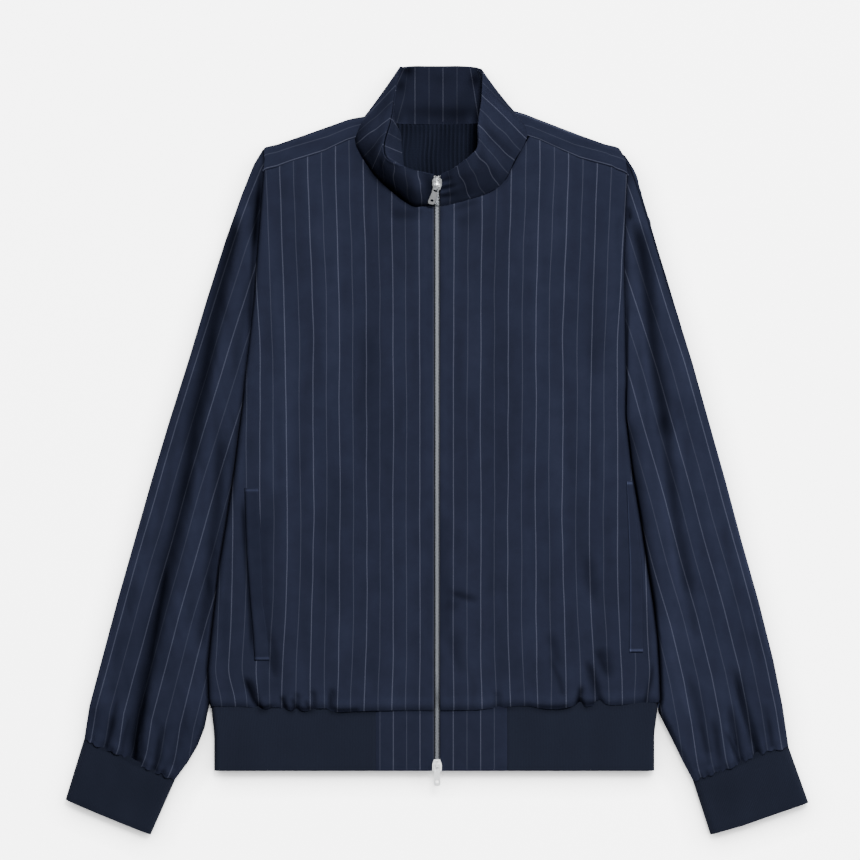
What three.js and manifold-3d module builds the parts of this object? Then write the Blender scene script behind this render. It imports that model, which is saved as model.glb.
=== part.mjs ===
// A track jacket with a zip, laid flat on its back with the front up.
// Sizes in mm. X runs across, 0 at the zip. Y runs up the garment to the collar.
// Z is up from the surface it lies on.
// "out" is a distance from the zip towards a side. The wearer's right is at -X, the wearer's left at +X.
import * as THREE from "three";
import Module from "manifold-3d";

const wasm = await Module();
wasm.setup();

// Driving sizes.
const CLOTH = 1.4; // wall of the woven shell
const FACING = 1.1; // wall of the collar's inner layer
const RIB = 2.2; // wall of the knitted rib
const SEAM = 0.3; // gap kept between two pieces at a seam
const BODY_H = 14; // height of the laid body
const SLEEVE_H = 14;
const CUFF_H = 10;
const HEM_H = 11.5;
const SHOULDER_H = 13;
const ROUND = 7; // how far in a laid edge starts to turn down
const ARMHOLE_DIP = 2.6; // how far cloth dips into the armhole seam
const WELT = 1.1; // wall of the pocket's strip
const FRONT_EDGE = 3.3; // front edge, out from the middle of the zip
const HEM_SEAM_Y = -258;
const HEM_END_Y = -320;
const UNDERARM_Y = 50;

// Side of the body, and the armhole seam above the underarm: out for each side.
const SIDE = [
  { y: 302, right: 173, left: 181.5 },
  { y: 290, right: 172, left: 188 },
  { y: 275, right: 173, left: 190 },
  { y: 250, right: 175, left: 188.5 },
  { y: 188, right: 180, left: 187 },
  { y: 150, right: 182.5, left: 187.5 },
  { y: 113, right: 186.5, left: 188 },
  { y: 75, right: 191, left: 188.5 },
  { y: 30, right: 196.5, left: 189 },
  { y: -22, right: 203, left: 195 },
  { y: -75, right: 211, left: 204 },
  { y: -117, right: 218, left: 210 },
  { y: -154, right: 222, left: 216 },
  { y: -188, right: 226, left: 220 },
  { y: -220, right: 229, left: 222 },
  { y: -249, right: 228, left: 223 },
  { y: -258, right: 226, left: 221 },
];

// Outer edge of each sleeve from the shoulder tip to the cuff.
const SLEEVE_OUTER = {
  right: [
    [173.5, 300.5], [183, 285], [195, 255], [211, 210], [230, 150], [248, 90], [267, 30],
    [285, -30], [302, -90], [319, -150], [335, -210], [347, -255], [352, -287],
  ],
  left: [
    [181.5, 300.5], [192, 285], [202, 255], [216, 210], [235, 150], [254, 90], [271, 30],
    [288, -30], [304, -90], [321, -150], [336, -210], [345, -255], [351, -296],
  ],
};
// Inner edge of each sleeve below the hem seam of the body, down to the cuff.
const SLEEVE_INNER_END = {
  right: [[231, -240], [233, -262], [239, -286], [244, -301], [261.5, -329]],
  left: [[225, -240], [226, -262], [235, -286], [246, -312], [255.5, -330]],
};
// Seam between sleeve and cuff, outer to inner, and the cuff's open end.
const CUFF_SEAM = {
  right: [[352, -287], [336, -296], [319, -302], [302, -312], [277, -322], [261.5, -329]],
  left: [[351, -296], [330, -300], [317, -305], [301, -313], [280, -321], [255.5, -330]],
};
const CUFF_END = {
  right: [[371, -349], [343, -361], [314, -373], [286, -384]],
  left: [[371, -352], [336, -364], [305, -375], [273, -384]],
};

// Shoulder strip: seam on the front, and the shoulder's edge, from neck to armhole.
const YOKE_SEAM = {
  right: [[82, 312.5], [112, 298], [147, 287], [172.3, 277.5]],
  left: [[93, 313.5], [118, 302], [143, 291], [175, 282.5], [189.5, 273]],
};
const SHOULDER = {
  right: [[71, 334], [89, 330], [131, 315], [173, 300.5]],
  left: [[76, 340], [88, 335.5], [102, 330], [141, 315], [181.5, 300.5]],
};

// Neck seam on the fronts, from the zip to the shoulder strip.
const NECK = {
  right: [[3, 242], [25, 242.5], [37, 249], [50, 261], [66, 278], [75, 291], [81, 304], [82, 312]],
  left: [[3, 243], [25, 248], [43, 253], [55, 256.5], [69, 268.5], [80, 290], [89, 306], [93, 313]],
};

// Collar, a row per place round the neck from the zip, over the wearer's right, to the back and round.
// neck: seam to the body; top: upper edge; base: where its inner layer ends. Each is x, y, z.
const COLLAR = [
  { neck: [-3.4, 243.5, 14], top: [-3.4, 273, 33], base: [-4, 247, 9] },
  { neck: [-14, 243, 14], top: [-16, 276, 35], base: [-17, 250, 8.5] },
  { neck: [-26, 244, 14.5], top: [-31, 280, 38], base: [-27, 258, 8] },
  { neck: [-50, 262, 14.5], top: [-50, 288, 41], base: [-33, 279, 7.5] },
  { neck: [-66, 279, 14], top: [-54, 303, 41], base: [-36, 298, 7.5] },
  { neck: [-80, 303, 13.5], top: [-47, 328, 34], base: [-38, 318, 7] },
  { neck: [-80, 319, 12], top: [-43, 353, 23], base: [-52, 327, 7] },
  { neck: [-71, 334, 7], top: [-38.5, 380, 9], base: [-64, 331, 5.5] },
  { neck: [-60, 329, 1], top: [-33, 383, 2.5], base: [-54, 328, 3.5] },
  { neck: [-40, 325, 0], top: [-23, 384, 0], base: [-38, 326, 3] },
  { neck: [-18, 323.8, 0], top: [-9, 383.9, 0], base: [-17, 325.3, 3] },
  { neck: [4, 323.5, 0], top: [6, 383.9, 0], base: [4, 325, 3] },
  { neck: [28, 324, 0], top: [22, 384, 0], base: [26, 325.5, 3] },
  { neck: [52, 327, 0.6], top: [37, 383, 1.2], base: [48, 327.5, 3.2] },
  { neck: [66, 334, 2.5], top: [42, 381.5, 4], base: [61, 332, 4] },
  { neck: [74, 340, 7], top: [45.5, 378.5, 9], base: [69, 334, 6] },
  { neck: [90, 321, 12.5], top: [45, 364, 18], base: [80, 321, 8] },
  { neck: [87, 305, 13.5], top: [44, 347, 26], base: [79, 306, 8.5] },
  { neck: [78, 290, 14], top: [41, 325, 33], base: [71, 293, 9] },
  { neck: [68, 270, 14.5], top: [40.5, 302, 38], base: [62, 275, 9] },
  { neck: [54, 258, 14.5], top: [32, 291, 40], base: [49, 263, 9] },
  { neck: [28, 249, 14.5], top: [17, 279, 38], base: [26, 254, 9] },
  { neck: [13, 244.8, 14.2], top: [10, 276, 35], base: [14, 250, 9] },
  { neck: [3.4, 243.5, 14], top: [3.4, 273, 33], base: [4, 248, 9] },
];
const COLLAR_BULGE = 3.5; // how far the standing collar bows out between its seam and its edge

// Largest folds: the line each follows, how far it rises, negative down, and how wide it is.
const FOLDS = {
  sleeve_right: [
    {
      line: [[198, 238], [205, 210], [212, 183], [223, 130], [233, 75], [243, 30], [247, -10], [260, -70],
        [272, -128], [284, -186], [294, -238], [302, -286], [302, -308]],
      rise: -4.6, wide: 7,
    },
    { line: [[217, 17], [219, -28], [222, -62], [231, -150], [240, -207]], rise: -2.6, wide: 7 },
    {
      line: [[222, 200], [240, 140], [262, 70], [283, -10], [306, -100], [322, -180], [334, -250]],
      rise: 2.2, wide: 14,
    },
    { line: [[322, -262], [328, -285], [331, -297]], rise: -2.2, wide: 5 },
    { line: [[272, -270], [279, -300], [282, -318]], rise: -2, wide: 5 },
  ],
  sleeve_left: [
    {
      line: [[193, 275], [197, 238], [204, 200], [209, 163], [215, 100], [225, 30], [238, -70], [250, -141],
        [261, -220], [267, -246]],
      rise: -4.6, wide: 7,
    },
    {
      line: [[228, 200], [247, 130], [268, 50], [286, -30], [304, -110], [322, -200]],
      rise: 2.2, wide: 14,
    },
    { line: [[296, -215], [302, -246], [313, -280], [319, -304]], rise: -3, wide: 5.5 },
    { line: [[290, -250], [298, -296], [303, -312]], rise: -2.4, wide: 5 },
    { line: [[274, -265], [279, -300], [282, -318]], rise: -2.2, wide: 5 },
    { line: [[248, -220], [262, -270], [270, -300]], rise: -2, wide: 7 },
  ],
  front_right: [
    { line: [[190, -225], [184, -244], [177, -258]], rise: -3, wide: 4.5 },
    { line: [[169, -175], [159, -233]], rise: -1.6, wide: 6 },
    { line: [[153, -244], [153, -258]], rise: -2, wide: 4 },
    { line: [[140, -241], [140, -258]], rise: -2, wide: 4 },
    { line: [[124, -238], [124, -258]], rise: -2, wide: 4 },
    { line: [[105, -236], [105, -258]], rise: -2, wide: 4.5 },
    { line: [[150, 150], [158, 20], [170, -60]], rise: 1.2, wide: 16 },
    { line: [[52, 236], [40, 232], [14, 234]], rise: -2.4, wide: 6 },
  ],
  front_left: [
    { line: [[148, -207], [161, -252]], rise: -3, wide: 5 },
    { line: [[143, -246], [143, -258]], rise: -3, wide: 4 },
    { line: [[148, -96], [151, -128], [161, -165]], rise: -1.8, wide: 9 },
    { line: [[161, -194], [174, -233]], rise: -1.8, wide: 8 },
    { line: [[111, -180], [122, -223]], rise: -1.4, wide: 7 },
    { line: [[13, -142], [45, -152]], rise: -1.2, wide: 5 },
    { line: [[11, -180], [27, -233]], rise: -1.2, wide: 7 },
    { line: [[60, -240], [60, -258]], rise: -1.5, wide: 5 },
  ],
};

// Pocket strip on each front: inner and outer edge, out for each y.
const POCKET = {
  right: [
    { y: -38, inner: 178, outer: 192 },
    { y: -102, inner: 174.5, outer: 190 },
    { y: -154, inner: 173, outer: 186 },
    { y: -182, inner: 169, outer: 183.5 },
    { y: -210, inner: 167, outer: 182 },
  ],
  left: [
    { y: -31, inner: 189, outer: 194 },
    { y: -75, inner: 190.5, outer: 200 },
    { y: -117, inner: 192, outer: 204.5 },
    { y: -160, inner: 192, outer: 205.5 },
    { y: -202, inner: 191.7, outer: 205.5 },
  ],
};

// Zip.
const CHAIN_W = 5.6;
const CHAIN_RISE = 0.9; // teeth above the cloth beside them
const CHAIN_H = 2.8;
const TAPE_DROP = 0.9; // from the cloth's inner side down to the tape
const TAPE_W = 12;
const TAPE_TOP_W = 7.5; // the tape is trimmed narrower inside the collar
const TAPE = 1;
const SLIDER = { wide: 9.4, long: 12, plate: 1, wedge: 2.6, post: 2.8, gap: 0.35 };
const BRIDGE = { wide: 2, long: 7.2, high: 3.2, leg: 1.2, roof: 0.9 };
const PULL = {
  wide: 6.8, thick: 1.3, long: 22, slotWide: 4.2, slotLong: 6.4, bar: 1.3, hole: 1.7, holeAt: 17.8,
};
const TOP_BAR_Y = 264; // where each pull's bar lies
const BOTTOM_BAR_Y = -313.3;
const TOP_PULL_LEAN = 17; // degrees to the wearer's right, as it lies

const COLOURS = {
  shell: { color: 0x222a3c, roughness: 0.62, metalness: 0 },
  rib: { color: 0x1b2230, roughness: 0.9, metalness: 0 },
  lining: { color: 0x1d2433, roughness: 0.8, metalness: 0 },
  tape: { color: 0x1a2030, roughness: 0.9, metalness: 0 },
  metal: { color: 0xb9bbbd, roughness: 0.3, metalness: 1 },
};

// Small tools.
const lerp = (a, b, t) => a + (b - a) * t;
const clamp = (x, a, b) => Math.min(b, Math.max(a, x));
const smooth = (a, b, x) => {
  const t = clamp((x - a) / (b - a), 0, 1);
  return t * t * (3 - 2 * t);
};
const sign = (side) => (side === "right" ? -1 : 1);
const at = (side, out, y, z) => new THREE.Vector3(sign(side) * out, y, z);

// A named column of a table at any y, the rows in falling y.
function column(table, name, y) {
  if (y >= table[0].y) return table[0][name];
  for (let i = 1; i < table.length; i++) {
    const [a, b] = [table[i - 1], table[i]];
    if (y >= b.y) return lerp(b[name], a[name], (y - b.y) / (a.y - b.y));
  }
  return table[table.length - 1][name];
}

// A point along a line of points, t from 0 to 1 by length.
function along(line, t) {
  const steps = line.slice(1).map((p, i) => Math.hypot(p[0] - line[i][0], p[1] - line[i][1]));
  let left = clamp(t, 0, 1) * steps.reduce((a, b) => a + b, 0);
  for (let i = 0; i < steps.length; i++) {
    if (left <= steps[i] || i === steps.length - 1) {
      const k = steps[i] ? left / steps[i] : 0;
      return [lerp(line[i][0], line[i + 1][0], k), lerp(line[i][1], line[i + 1][1], k)];
    }
    left -= steps[i];
  }
  return line[0];
}

// Height of a line at an out, the line running outwards.
function heightAt(line, out) {
  if (out <= line[0][0]) return line[0][1];
  for (let i = 1; i < line.length; i++) {
    const [a, b] = [line[i - 1], line[i]];
    if (out <= b[0]) return lerp(a[1], b[1], (out - a[0]) / (b[0] - a[0]));
  }
  return line[line.length - 1][1];
}

function distance(p, line) {
  let best = Infinity;
  for (let i = 1; i < line.length; i++) {
    const [a, b] = [line[i - 1], line[i]];
    const [dx, dy] = [b[0] - a[0], b[1] - a[1]];
    const k = clamp(((p[0] - a[0]) * dx + (p[1] - a[1]) * dy) / (dx * dx + dy * dy), 0, 1);
    best = Math.min(best, Math.hypot(p[0] - a[0] - k * dx, p[1] - a[1] - k * dy));
  }
  return best;
}

const folds = (piece, out, y) =>
  FOLDS[piece].reduce(
    (sum, f) => sum + f.rise * Math.exp(-((distance([out, y], f.line) / f.wide) ** 2)),
    0,
  );

// Rounding of a laid edge: 0 at the edge itself, 1 once "round" in from it.
const rounding = (d, round = ROUND) => Math.sqrt(1 - (1 - clamp(d / round, 0, 1)) ** 2);

// Steps from 0 to 1 that crowd towards both ends, or towards the far end only.
const crowded = (n) => Array.from({ length: n + 1 }, (_, i) => (1 - Math.cos((Math.PI * i) / n)) / 2);
const crowdedEnd = (n) => Array.from({ length: n + 1 }, (_, i) => Math.sin((Math.PI / 2) * (i / n)));
const even = (n) => Array.from({ length: n + 1 }, (_, i) => i / n);

// Walls from a grid of points.
function normals(grid, ring) {
  const [n, m] = [grid.length, grid[0].length];
  return grid.map((row, i) =>
    row.map((_, j) => {
      const du = grid[Math.min(i + 1, n - 1)][j].clone().sub(grid[Math.max(i - 1, 0)][j]);
      const next = ring ? (j + 1) % m : Math.min(j + 1, m - 1);
      const last = ring ? (j + m - 1) % m : Math.max(j - 1, 0);
      return du.cross(grid[i][next].clone().sub(grid[i][last])).normalize();
    }),
  );
}

const moved = (grid, by, ring = false) => {
  const n = normals(grid, ring);
  return grid.map((row, i) => row.map((p, j) => p.clone().addScaledVector(n[i][j], by)));
};

// A closed wall between two grids of points of the same size.
function between(a, b, ring = false) {
  const [n, m] = [a.length, a[0].length];
  const spots = [...a.flat(), ...b.flat()];
  const A = (i, j) => i * m + (j % m);
  const B = (i, j) => n * m + A(i, j);
  const faces = [];
  const quad = (p, q, r, s) => faces.push([p, q, r], [p, r, s]);
  const across = ring ? m : m - 1;
  for (let i = 0; i < n - 1; i++) {
    for (let j = 0; j < across; j++) {
      quad(A(i, j), A(i + 1, j), A(i + 1, j + 1), A(i, j + 1));
      quad(B(i, j + 1), B(i + 1, j + 1), B(i + 1, j), B(i, j));
    }
  }
  for (let j = 0; j < across; j++) {
    quad(A(0, j), A(0, j + 1), B(0, j + 1), B(0, j));
    quad(A(n - 1, j + 1), A(n - 1, j), B(n - 1, j), B(n - 1, j + 1));
  }
  for (let i = 0; !ring && i < n - 1; i++) {
    quad(A(i + 1, 0), A(i, 0), B(i, 0), B(i + 1, 0));
    quad(A(i, m - 1), A(i + 1, m - 1), B(i + 1, m - 1), B(i, m - 1));
  }
  let volume = 0;
  for (const [p, q, r] of faces) volume += spots[p].dot(spots[q].clone().cross(spots[r]));
  const geometry = new THREE.BufferGeometry();
  geometry.setAttribute("position", new THREE.Float32BufferAttribute(spots.flatMap((p) => p.toArray()), 3));
  geometry.setIndex(faces.flatMap(([p, q, r]) => (volume < 0 ? [p, r, q] : [p, q, r])));
  return geometry;
}

// The inner side of a wall whose grid is its outer side.
// "faces" is 1 if the outer side looks up at the grid's marked point, -1 if down.
function inside(grid, thick, faces, { ring = false, mark = [0, 0] } = {}) {
  const n = normals(grid, ring)[mark[0]][mark[1]];
  return moved(grid, n.z * faces > 0 ? -thick : thick, ring);
}

const wall = (grid, thick, faces, options = {}) =>
  between(grid, inside(grid, thick, faces, options), options.ring);

const jacket = new THREE.Group();
function add(name, geometry, look) {
  const mesh = new THREE.Mesh(geometry, new THREE.MeshStandardMaterial(COLOURS[look]));
  mesh.name = name;
  jacket.add(mesh);
}

// Body.
const sideOut = (side, y) => column(SIDE, side, y);

// How far the front's side edge falls: a little at the armhole, to half height below the underarm.
const sideFall = (y) =>
  lerp(BODY_H / 2 - SEAM / 2, ARMHOLE_DIP, smooth(UNDERARM_Y + 2, UNDERARM_Y + 16, y));

// Height of the front before its side turns down.
function frontTop(side, out, y) {
  const hem = (BODY_H - HEM_H + 0.6) * Math.exp(-(((y - HEM_SEAM_Y) / 13) ** 2));
  const top = heightAt(YOKE_SEAM[side], out);
  const yoke = (BODY_H - SHOULDER_H) * Math.exp(-(((y - top) / 30) ** 2));
  return BODY_H - hem - yoke + folds(`front_${side}`, out, y);
}

// A point of the front's outer side at any out and y.
function frontPoint(side, out, y) {
  const d = sideOut(side, y) - out;
  const turn = 1 - rounding(d);
  const top = frontTop(side, Math.min(out, sideOut(side, y) - ROUND), y);
  const floor = y < UNDERARM_Y ? BODY_H / 2 + SEAM / 2 : 0;
  return at(side, out, y, Math.max(top - turn * (top - BODY_H + sideFall(y)), floor));
}

// Upper end of the front at an out: the neck seam, then the shoulder strip's seam.
function frontEnd(side, out) {
  const neck = NECK[side];
  const line = out < neck[neck.length - 1][0] ? neck : YOKE_SEAM[side];
  return heightAt(line, out) - SEAM - 0.4;
}

function frontGrid(side, rows, columns) {
  return rows.map((v) =>
    columns.map((u) => {
      let y = frontEnd(side, lerp(FRONT_EDGE, sideOut(side, 280), u));
      for (let k = 0; k < 4; k++) y = frontEnd(side, lerp(FRONT_EDGE, sideOut(side, y), u));
      y = lerp(y, HEM_SEAM_Y + SEAM, v);
      return frontPoint(side, lerp(FRONT_EDGE, sideOut(side, y), u), y);
    }),
  );
}

// Back: flat on the surface, its sides turned up below the underarm.
function backEnd(side, out) {
  const neck = COLLAR.filter((r) => r.neck[2] < 3 && sign(side) * r.neck[0] >= 0)
    .map((r) => [Math.abs(r.neck[0]), r.neck[1]]);
  neck.sort((a, b) => a[0] - b[0]);
  const first = YOKE_SEAM[side][0];
  const end = out < first[0] ? heightAt([...neck, first], out) - 1 : heightAt(YOKE_SEAM[side], out);
  return end - SEAM - 0.5;
}

function backGrid(rows, columns) {
  return rows.map((v) =>
    columns.map((w) => {
      const side = w < 0 ? "right" : "left";
      const u = Math.abs(w);
      let y = backEnd(side, sideOut(side, 280) * u);
      for (let k = 0; k < 4; k++) y = backEnd(side, sideOut(side, y) * u);
      y = lerp(y, HEM_SEAM_Y + SEAM, v);
      const out = sideOut(side, y) * u;
      const turn = 1 - rounding(sideOut(side, y) - out);
      const up = (BODY_H / 2 - SEAM / 2) * smooth(UNDERARM_Y + 16, UNDERARM_Y + 2, y);
      return at(side, out, y, turn * up);
    }),
  );
}

// Height of a grid's facets at a point seen from above.
function facetZ(grid, x, y) {
  for (let i = 0; i < grid.length - 1; i++) {
    for (let j = 0; j < grid[0].length - 1; j++) {
      const [a, b, c, d] = [grid[i][j], grid[i + 1][j], grid[i + 1][j + 1], grid[i][j + 1]];
      for (const [p, q, r] of [[a, b, c], [a, c, d]]) {
        const area = (q.x - p.x) * (r.y - p.y) - (r.x - p.x) * (q.y - p.y);
        const k = ((x - p.x) * (r.y - p.y) - (r.x - p.x) * (y - p.y)) / area;
        const l = ((q.x - p.x) * (y - p.y) - (x - p.x) * (q.y - p.y)) / area;
        if (k >= -1e-6 && l >= -1e-6 && k + l <= 1 + 1e-6) return p.z + k * (q.z - p.z) + l * (r.z - p.z);
      }
    }
  }
  return 0;
}

// The pocket's strip, laid on the front's facets.
function weltGrid(side, front) {
  const table = POCKET[side];
  const [first, last] = [table[0].y, table[table.length - 1].y];
  return even(14).map((v) => {
    const y = lerp(first, last, v);
    return even(4).map((u) => {
      const x = sign(side) * lerp(column(table, "inner", y), column(table, "outer", y), u);
      return new THREE.Vector3(x, y, facetZ(front, x, y) + WELT + SEAM + 0.15);
    });
  });
}

// Sleeves and cuffs.
const armhole = (side) => {
  const rows = SIDE.filter((r) => r.y > UNDERARM_Y).map((r) => [r[side] + SEAM + 0.1, r.y]);
  rows[0] = [SLEEVE_OUTER[side][0][0] + SEAM, SLEEVE_OUTER[side][0][1]];
  return [...rows, [sideOut(side, UNDERARM_Y) + SEAM + 0.1, UNDERARM_Y]];
};
const sleeveInner = (side) => {
  const rows = SIDE.filter((r) => r.y < UNDERARM_Y && r.y > -235).map((r) => [r[side] + 0.7, r.y]);
  return [[sideOut(side, UNDERARM_Y) + SEAM + 0.1, UNDERARM_Y], ...rows, ...SLEEVE_INNER_END[side]];
};

// A patch between four lines: s runs across from outer to inner, t from first to last.
function patch(outer, inner, first, last, s, t) {
  const [o, i, f, l] = [along(outer, t), along(inner, t), along(first, s), along(last, s)];
  const corner = (k) =>
    (1 - s) * (1 - t) * outer[0][k] + s * (1 - t) * inner[0][k] +
    (1 - s) * t * outer[outer.length - 1][k] + s * t * inner[inner.length - 1][k];
  return [0, 1].map((k) => (1 - s) * o[k] + s * i[k] + (1 - t) * f[k] + t * l[k] - corner(k));
}

// Rings of a laid tube: over the top from outer to inner, back along the bottom.
function tube(side, lines, height, lift, rows, n) {
  const over = crowded(n);
  return rows.map((t) => {
    const spot = (s) => patch(...lines, s, t);
    const [a, b] = [spot(0), spot(1)];
    const width = Math.hypot(a[0] - b[0], a[1] - b[1]);
    const ring = over.map((s) => ({ s, up: true }));
    ring.push(...over.slice(1, -1).reverse().map((s) => ({ s, up: false })));
    return ring.map(({ s, up }) => {
      const [out, y] = spot(s);
      const h = height(t, s);
      const full = rounding(Math.min(s, 1 - s) * width);
      const top = lerp(h / 2, h + lift(out, y), full);
      return at(side, out, y, up ? top : (h / 2) * (1 - full));
    });
  });
}

const sleeveLines = (side) => {
  const seam = CUFF_SEAM[side].map(([out, y]) => [out, y + SEAM]);
  const outer = [...SLEEVE_OUTER[side].slice(0, -1), seam[0]];
  const inner = [...sleeveInner(side).slice(0, -1), seam[seam.length - 1]];
  outer[0] = armhole(side)[0];
  return [outer, inner, armhole(side), seam];
};
const cuffLines = (side) => {
  const seam = CUFF_SEAM[side];
  const end = CUFF_END[side];
  return [[seam[0], end[0]], [seam[seam.length - 1], end[end.length - 1]], seam, end];
};

function sleeveHeight(t) {
  const armholeDip = ARMHOLE_DIP * Math.exp(-((t / 0.02) ** 2));
  const cuffDip = (SLEEVE_H - CUFF_H - 0.4) * Math.exp(-(((1 - t) / 0.03) ** 2));
  return SLEEVE_H - armholeDip - cuffDip;
}

// Shoulder strips.
function yokeGrid(side, rows, n) {
  const across = crowdedEnd(n);
  const seam = YOKE_SEAM[side];
  const neckGap = 2;
  return rows.map((v) => {
    const a = along(seam, v);
    const b = along(SHOULDER[side], v);
    const shift = lerp(neckGap, -0.8, v);
    const ring = across.map((w) => ({ w, up: true }));
    ring.push(...across.slice(0, -1).reverse().map((w) => ({ w, up: false })));
    const wide = Math.hypot(a[0] - b[0], a[1] - b[1]);
    return ring.map(({ w, up }) => {
      const full = rounding((1 - w) * wide, 6);
      const z = up ? SHOULDER_H / 2 + (SHOULDER_H / 2) * full : (SHOULDER_H / 2) * (1 - full);
      return at(side, lerp(a[0], b[0], w) + shift, lerp(a[1], b[1], w), z);
    });
  });
}

// Hem.
// One band from beside the zip panel on one front, round by the back, to the other front.
const HEM_PANEL = { right: 61, left: 70 };
const HEM_SIDE = { right: { top: 225, end: 222.5 }, left: { top: 220, end: 217 } };

function hemGrid(rows, n) {
  const half = (side, v) => {
    const edge = lerp(HEM_SIDE[side].top, HEM_SIDE[side].end, smooth(0, 0.5, v));
    const y = lerp(HEM_SEAM_Y - SEAM, HEM_END_Y, v);
    const puff = 0.5 * Math.exp(-(((v - 0.5) / 0.4) ** 2));
    const top = crowdedEnd(n).map((u) => {
      const out = lerp(HEM_PANEL[side] + SEAM, edge, u);
      return at(side, out, y, HEM_H / 2 + (HEM_H / 2 + puff) * rounding(edge - out, 5.5));
    });
    const under = crowdedEnd(n).slice(0, -1).reverse().map((u) => {
      const out = edge * u;
      return at(side, out, y, (HEM_H / 2) * (1 - rounding(edge - out, 5.5)));
    });
    return [...top, ...under];
  };
  return rows.map((v) => [...half("right", v), ...half("left", v).slice(0, -1).reverse()]);
}

function hemPanelGrid(side, rows, n) {
  return rows.map((v) =>
    even(n).map((u) => {
      const y = lerp(HEM_SEAM_Y - SEAM, HEM_END_Y, v);
      const puff = 0.5 * Math.exp(-(((v - 0.5) / 0.4) ** 2));
      return at(side, lerp(FRONT_EDGE, HEM_PANEL[side], u), y, HEM_H + puff);
    }),
  );
}

// Collar.
// A smooth value through the rows of the collar at any place from 0 to 1.
function round(name, place) {
  const last = COLLAR.length - 1;
  const x = clamp(place, 0, 1) * last;
  const i = Math.min(Math.floor(x), last - 1);
  const t = x - i;
  const row = (k) => COLLAR[clamp(k, 0, last)][name];
  return [0, 1, 2].map((k) => {
    const [a, b, c, d] = [row(i - 1)[k], row(i)[k], row(i + 1)[k], row(i + 2)[k]];
    const bend = (2 * a - 5 * b + 4 * c - d) * t ** 2 + (3 * b - a - 3 * c + d) * t ** 3;
    return 0.5 * (2 * b + (c - a) * t + bend);
  });
}

function collarGrid(rows, places) {
  return rows.map((v) =>
    places.map((u) => {
      const low = new THREE.Vector3(...round("neck", u));
      const high = new THREE.Vector3(...round("top", u));
      const point = low.clone().lerp(high, v);
      const stands = smooth(6, 20, high.z) * smooth(4, 24, Math.abs(high.x));
      point.z = Math.max(point.z + COLLAR_BULGE * stands * Math.sin(Math.PI * v), 0);
      return point;
    }),
  );
}

// The collar's inner layer: from its own seam inside the neck to just under the collar's edge.
function facingGrid(rows, places) {
  const mark = [1, Math.floor(places.length / 2)];
  const edge = inside(collarGrid(even(4), places), CLOTH + 2 * SEAM, -1, { mark });
  return rows.map((v) =>
    places.map((u, j) => {
      const point = new THREE.Vector3(...round("base", u)).lerp(edge[edge.length - 1][j], v);
      point.z = Math.max(point.z, 2);
      return point;
    }),
  );
}

// Zip.
// Height of the cloth beside the zip at any y.
function zipZ(y) {
  const neck = COLLAR[0];
  if (y > neck.neck[1]) {
    return lerp(neck.neck[2], neck.top[2], (y - neck.neck[1]) / (neck.top[1] - neck.neck[1]));
  }
  if (y > HEM_SEAM_Y) return frontPoint("left", FRONT_EDGE + 1, y).z;
  return HEM_H;
}
const ZIP_ROWS = [
  -317.5, -300, -290, -275, -264, -258, -252, -244, -232, -200, -150, -90, 20, 80, 140, 180,
  205, 220, 232, 240, 246, 252, 258, 265,
];

function strip(inner, outer, high, thick) {
  const reach = (x, y) => clamp(x, -1e3 * (y < 238) - TAPE_TOP_W, 1e3 * (y < 238) + TAPE_TOP_W);
  const grid = ZIP_ROWS.map((y) => [inner, outer].map((x) => new THREE.Vector3(reach(x, y), y, zipZ(y))));
  const top = inside(grid, -high, 1);
  return between(top, inside(grid, thick - high, 1));
}

const body = (geometry) => {
  const g = geometry.index ? geometry : geometry.clone();
  const spots = [];
  const seen = new Map();
  const faces = [];
  const p = g.getAttribute("position");
  const count = g.index ? g.index.count : p.count;
  for (let k = 0; k < count; k++) {
    const i = g.index ? g.index.getX(k) : k;
    const key = [p.getX(i), p.getY(i), p.getZ(i)].map((x) => Math.round(x * 1e4)).join();
    if (!seen.has(key)) {
      seen.set(key, spots.length / 3);
      spots.push(p.getX(i), p.getY(i), p.getZ(i));
    }
    faces.push(seen.get(key));
  }
  const mesh = new wasm.Mesh({
    numProp: 3,
    vertProperties: new Float32Array(spots),
    triVerts: new Uint32Array(faces),
  });
  return new wasm.Manifold(mesh);
};

const geometryOf = (solid) => {
  const mesh = solid.getMesh();
  const geometry = new THREE.BufferGeometry();
  geometry.setAttribute("position", new THREE.Float32BufferAttribute(mesh.vertProperties, 3));
  geometry.setIndex(Array.from(mesh.triVerts));
  return geometry;
};

// A plate cut along an outline in its own y and z, as wide as asked about x 0.
function profile(points, wide, holes = []) {
  const shape = new THREE.Shape(points.map(([y, z]) => new THREE.Vector2(y, z)));
  holes.forEach((h) => shape.holes.push(new THREE.Path(h.map(([y, z]) => new THREE.Vector2(y, z)))));
  const geometry = new THREE.ExtrudeGeometry(shape, { depth: wide, bevelEnabled: false });
  geometry.applyMatrix4(new THREE.Matrix4().set(0, 0, 1, -wide / 2, 1, 0, 0, 0, 0, 1, 0, 0, 0, 0, 0, 1));
  return geometry;
}

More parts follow.
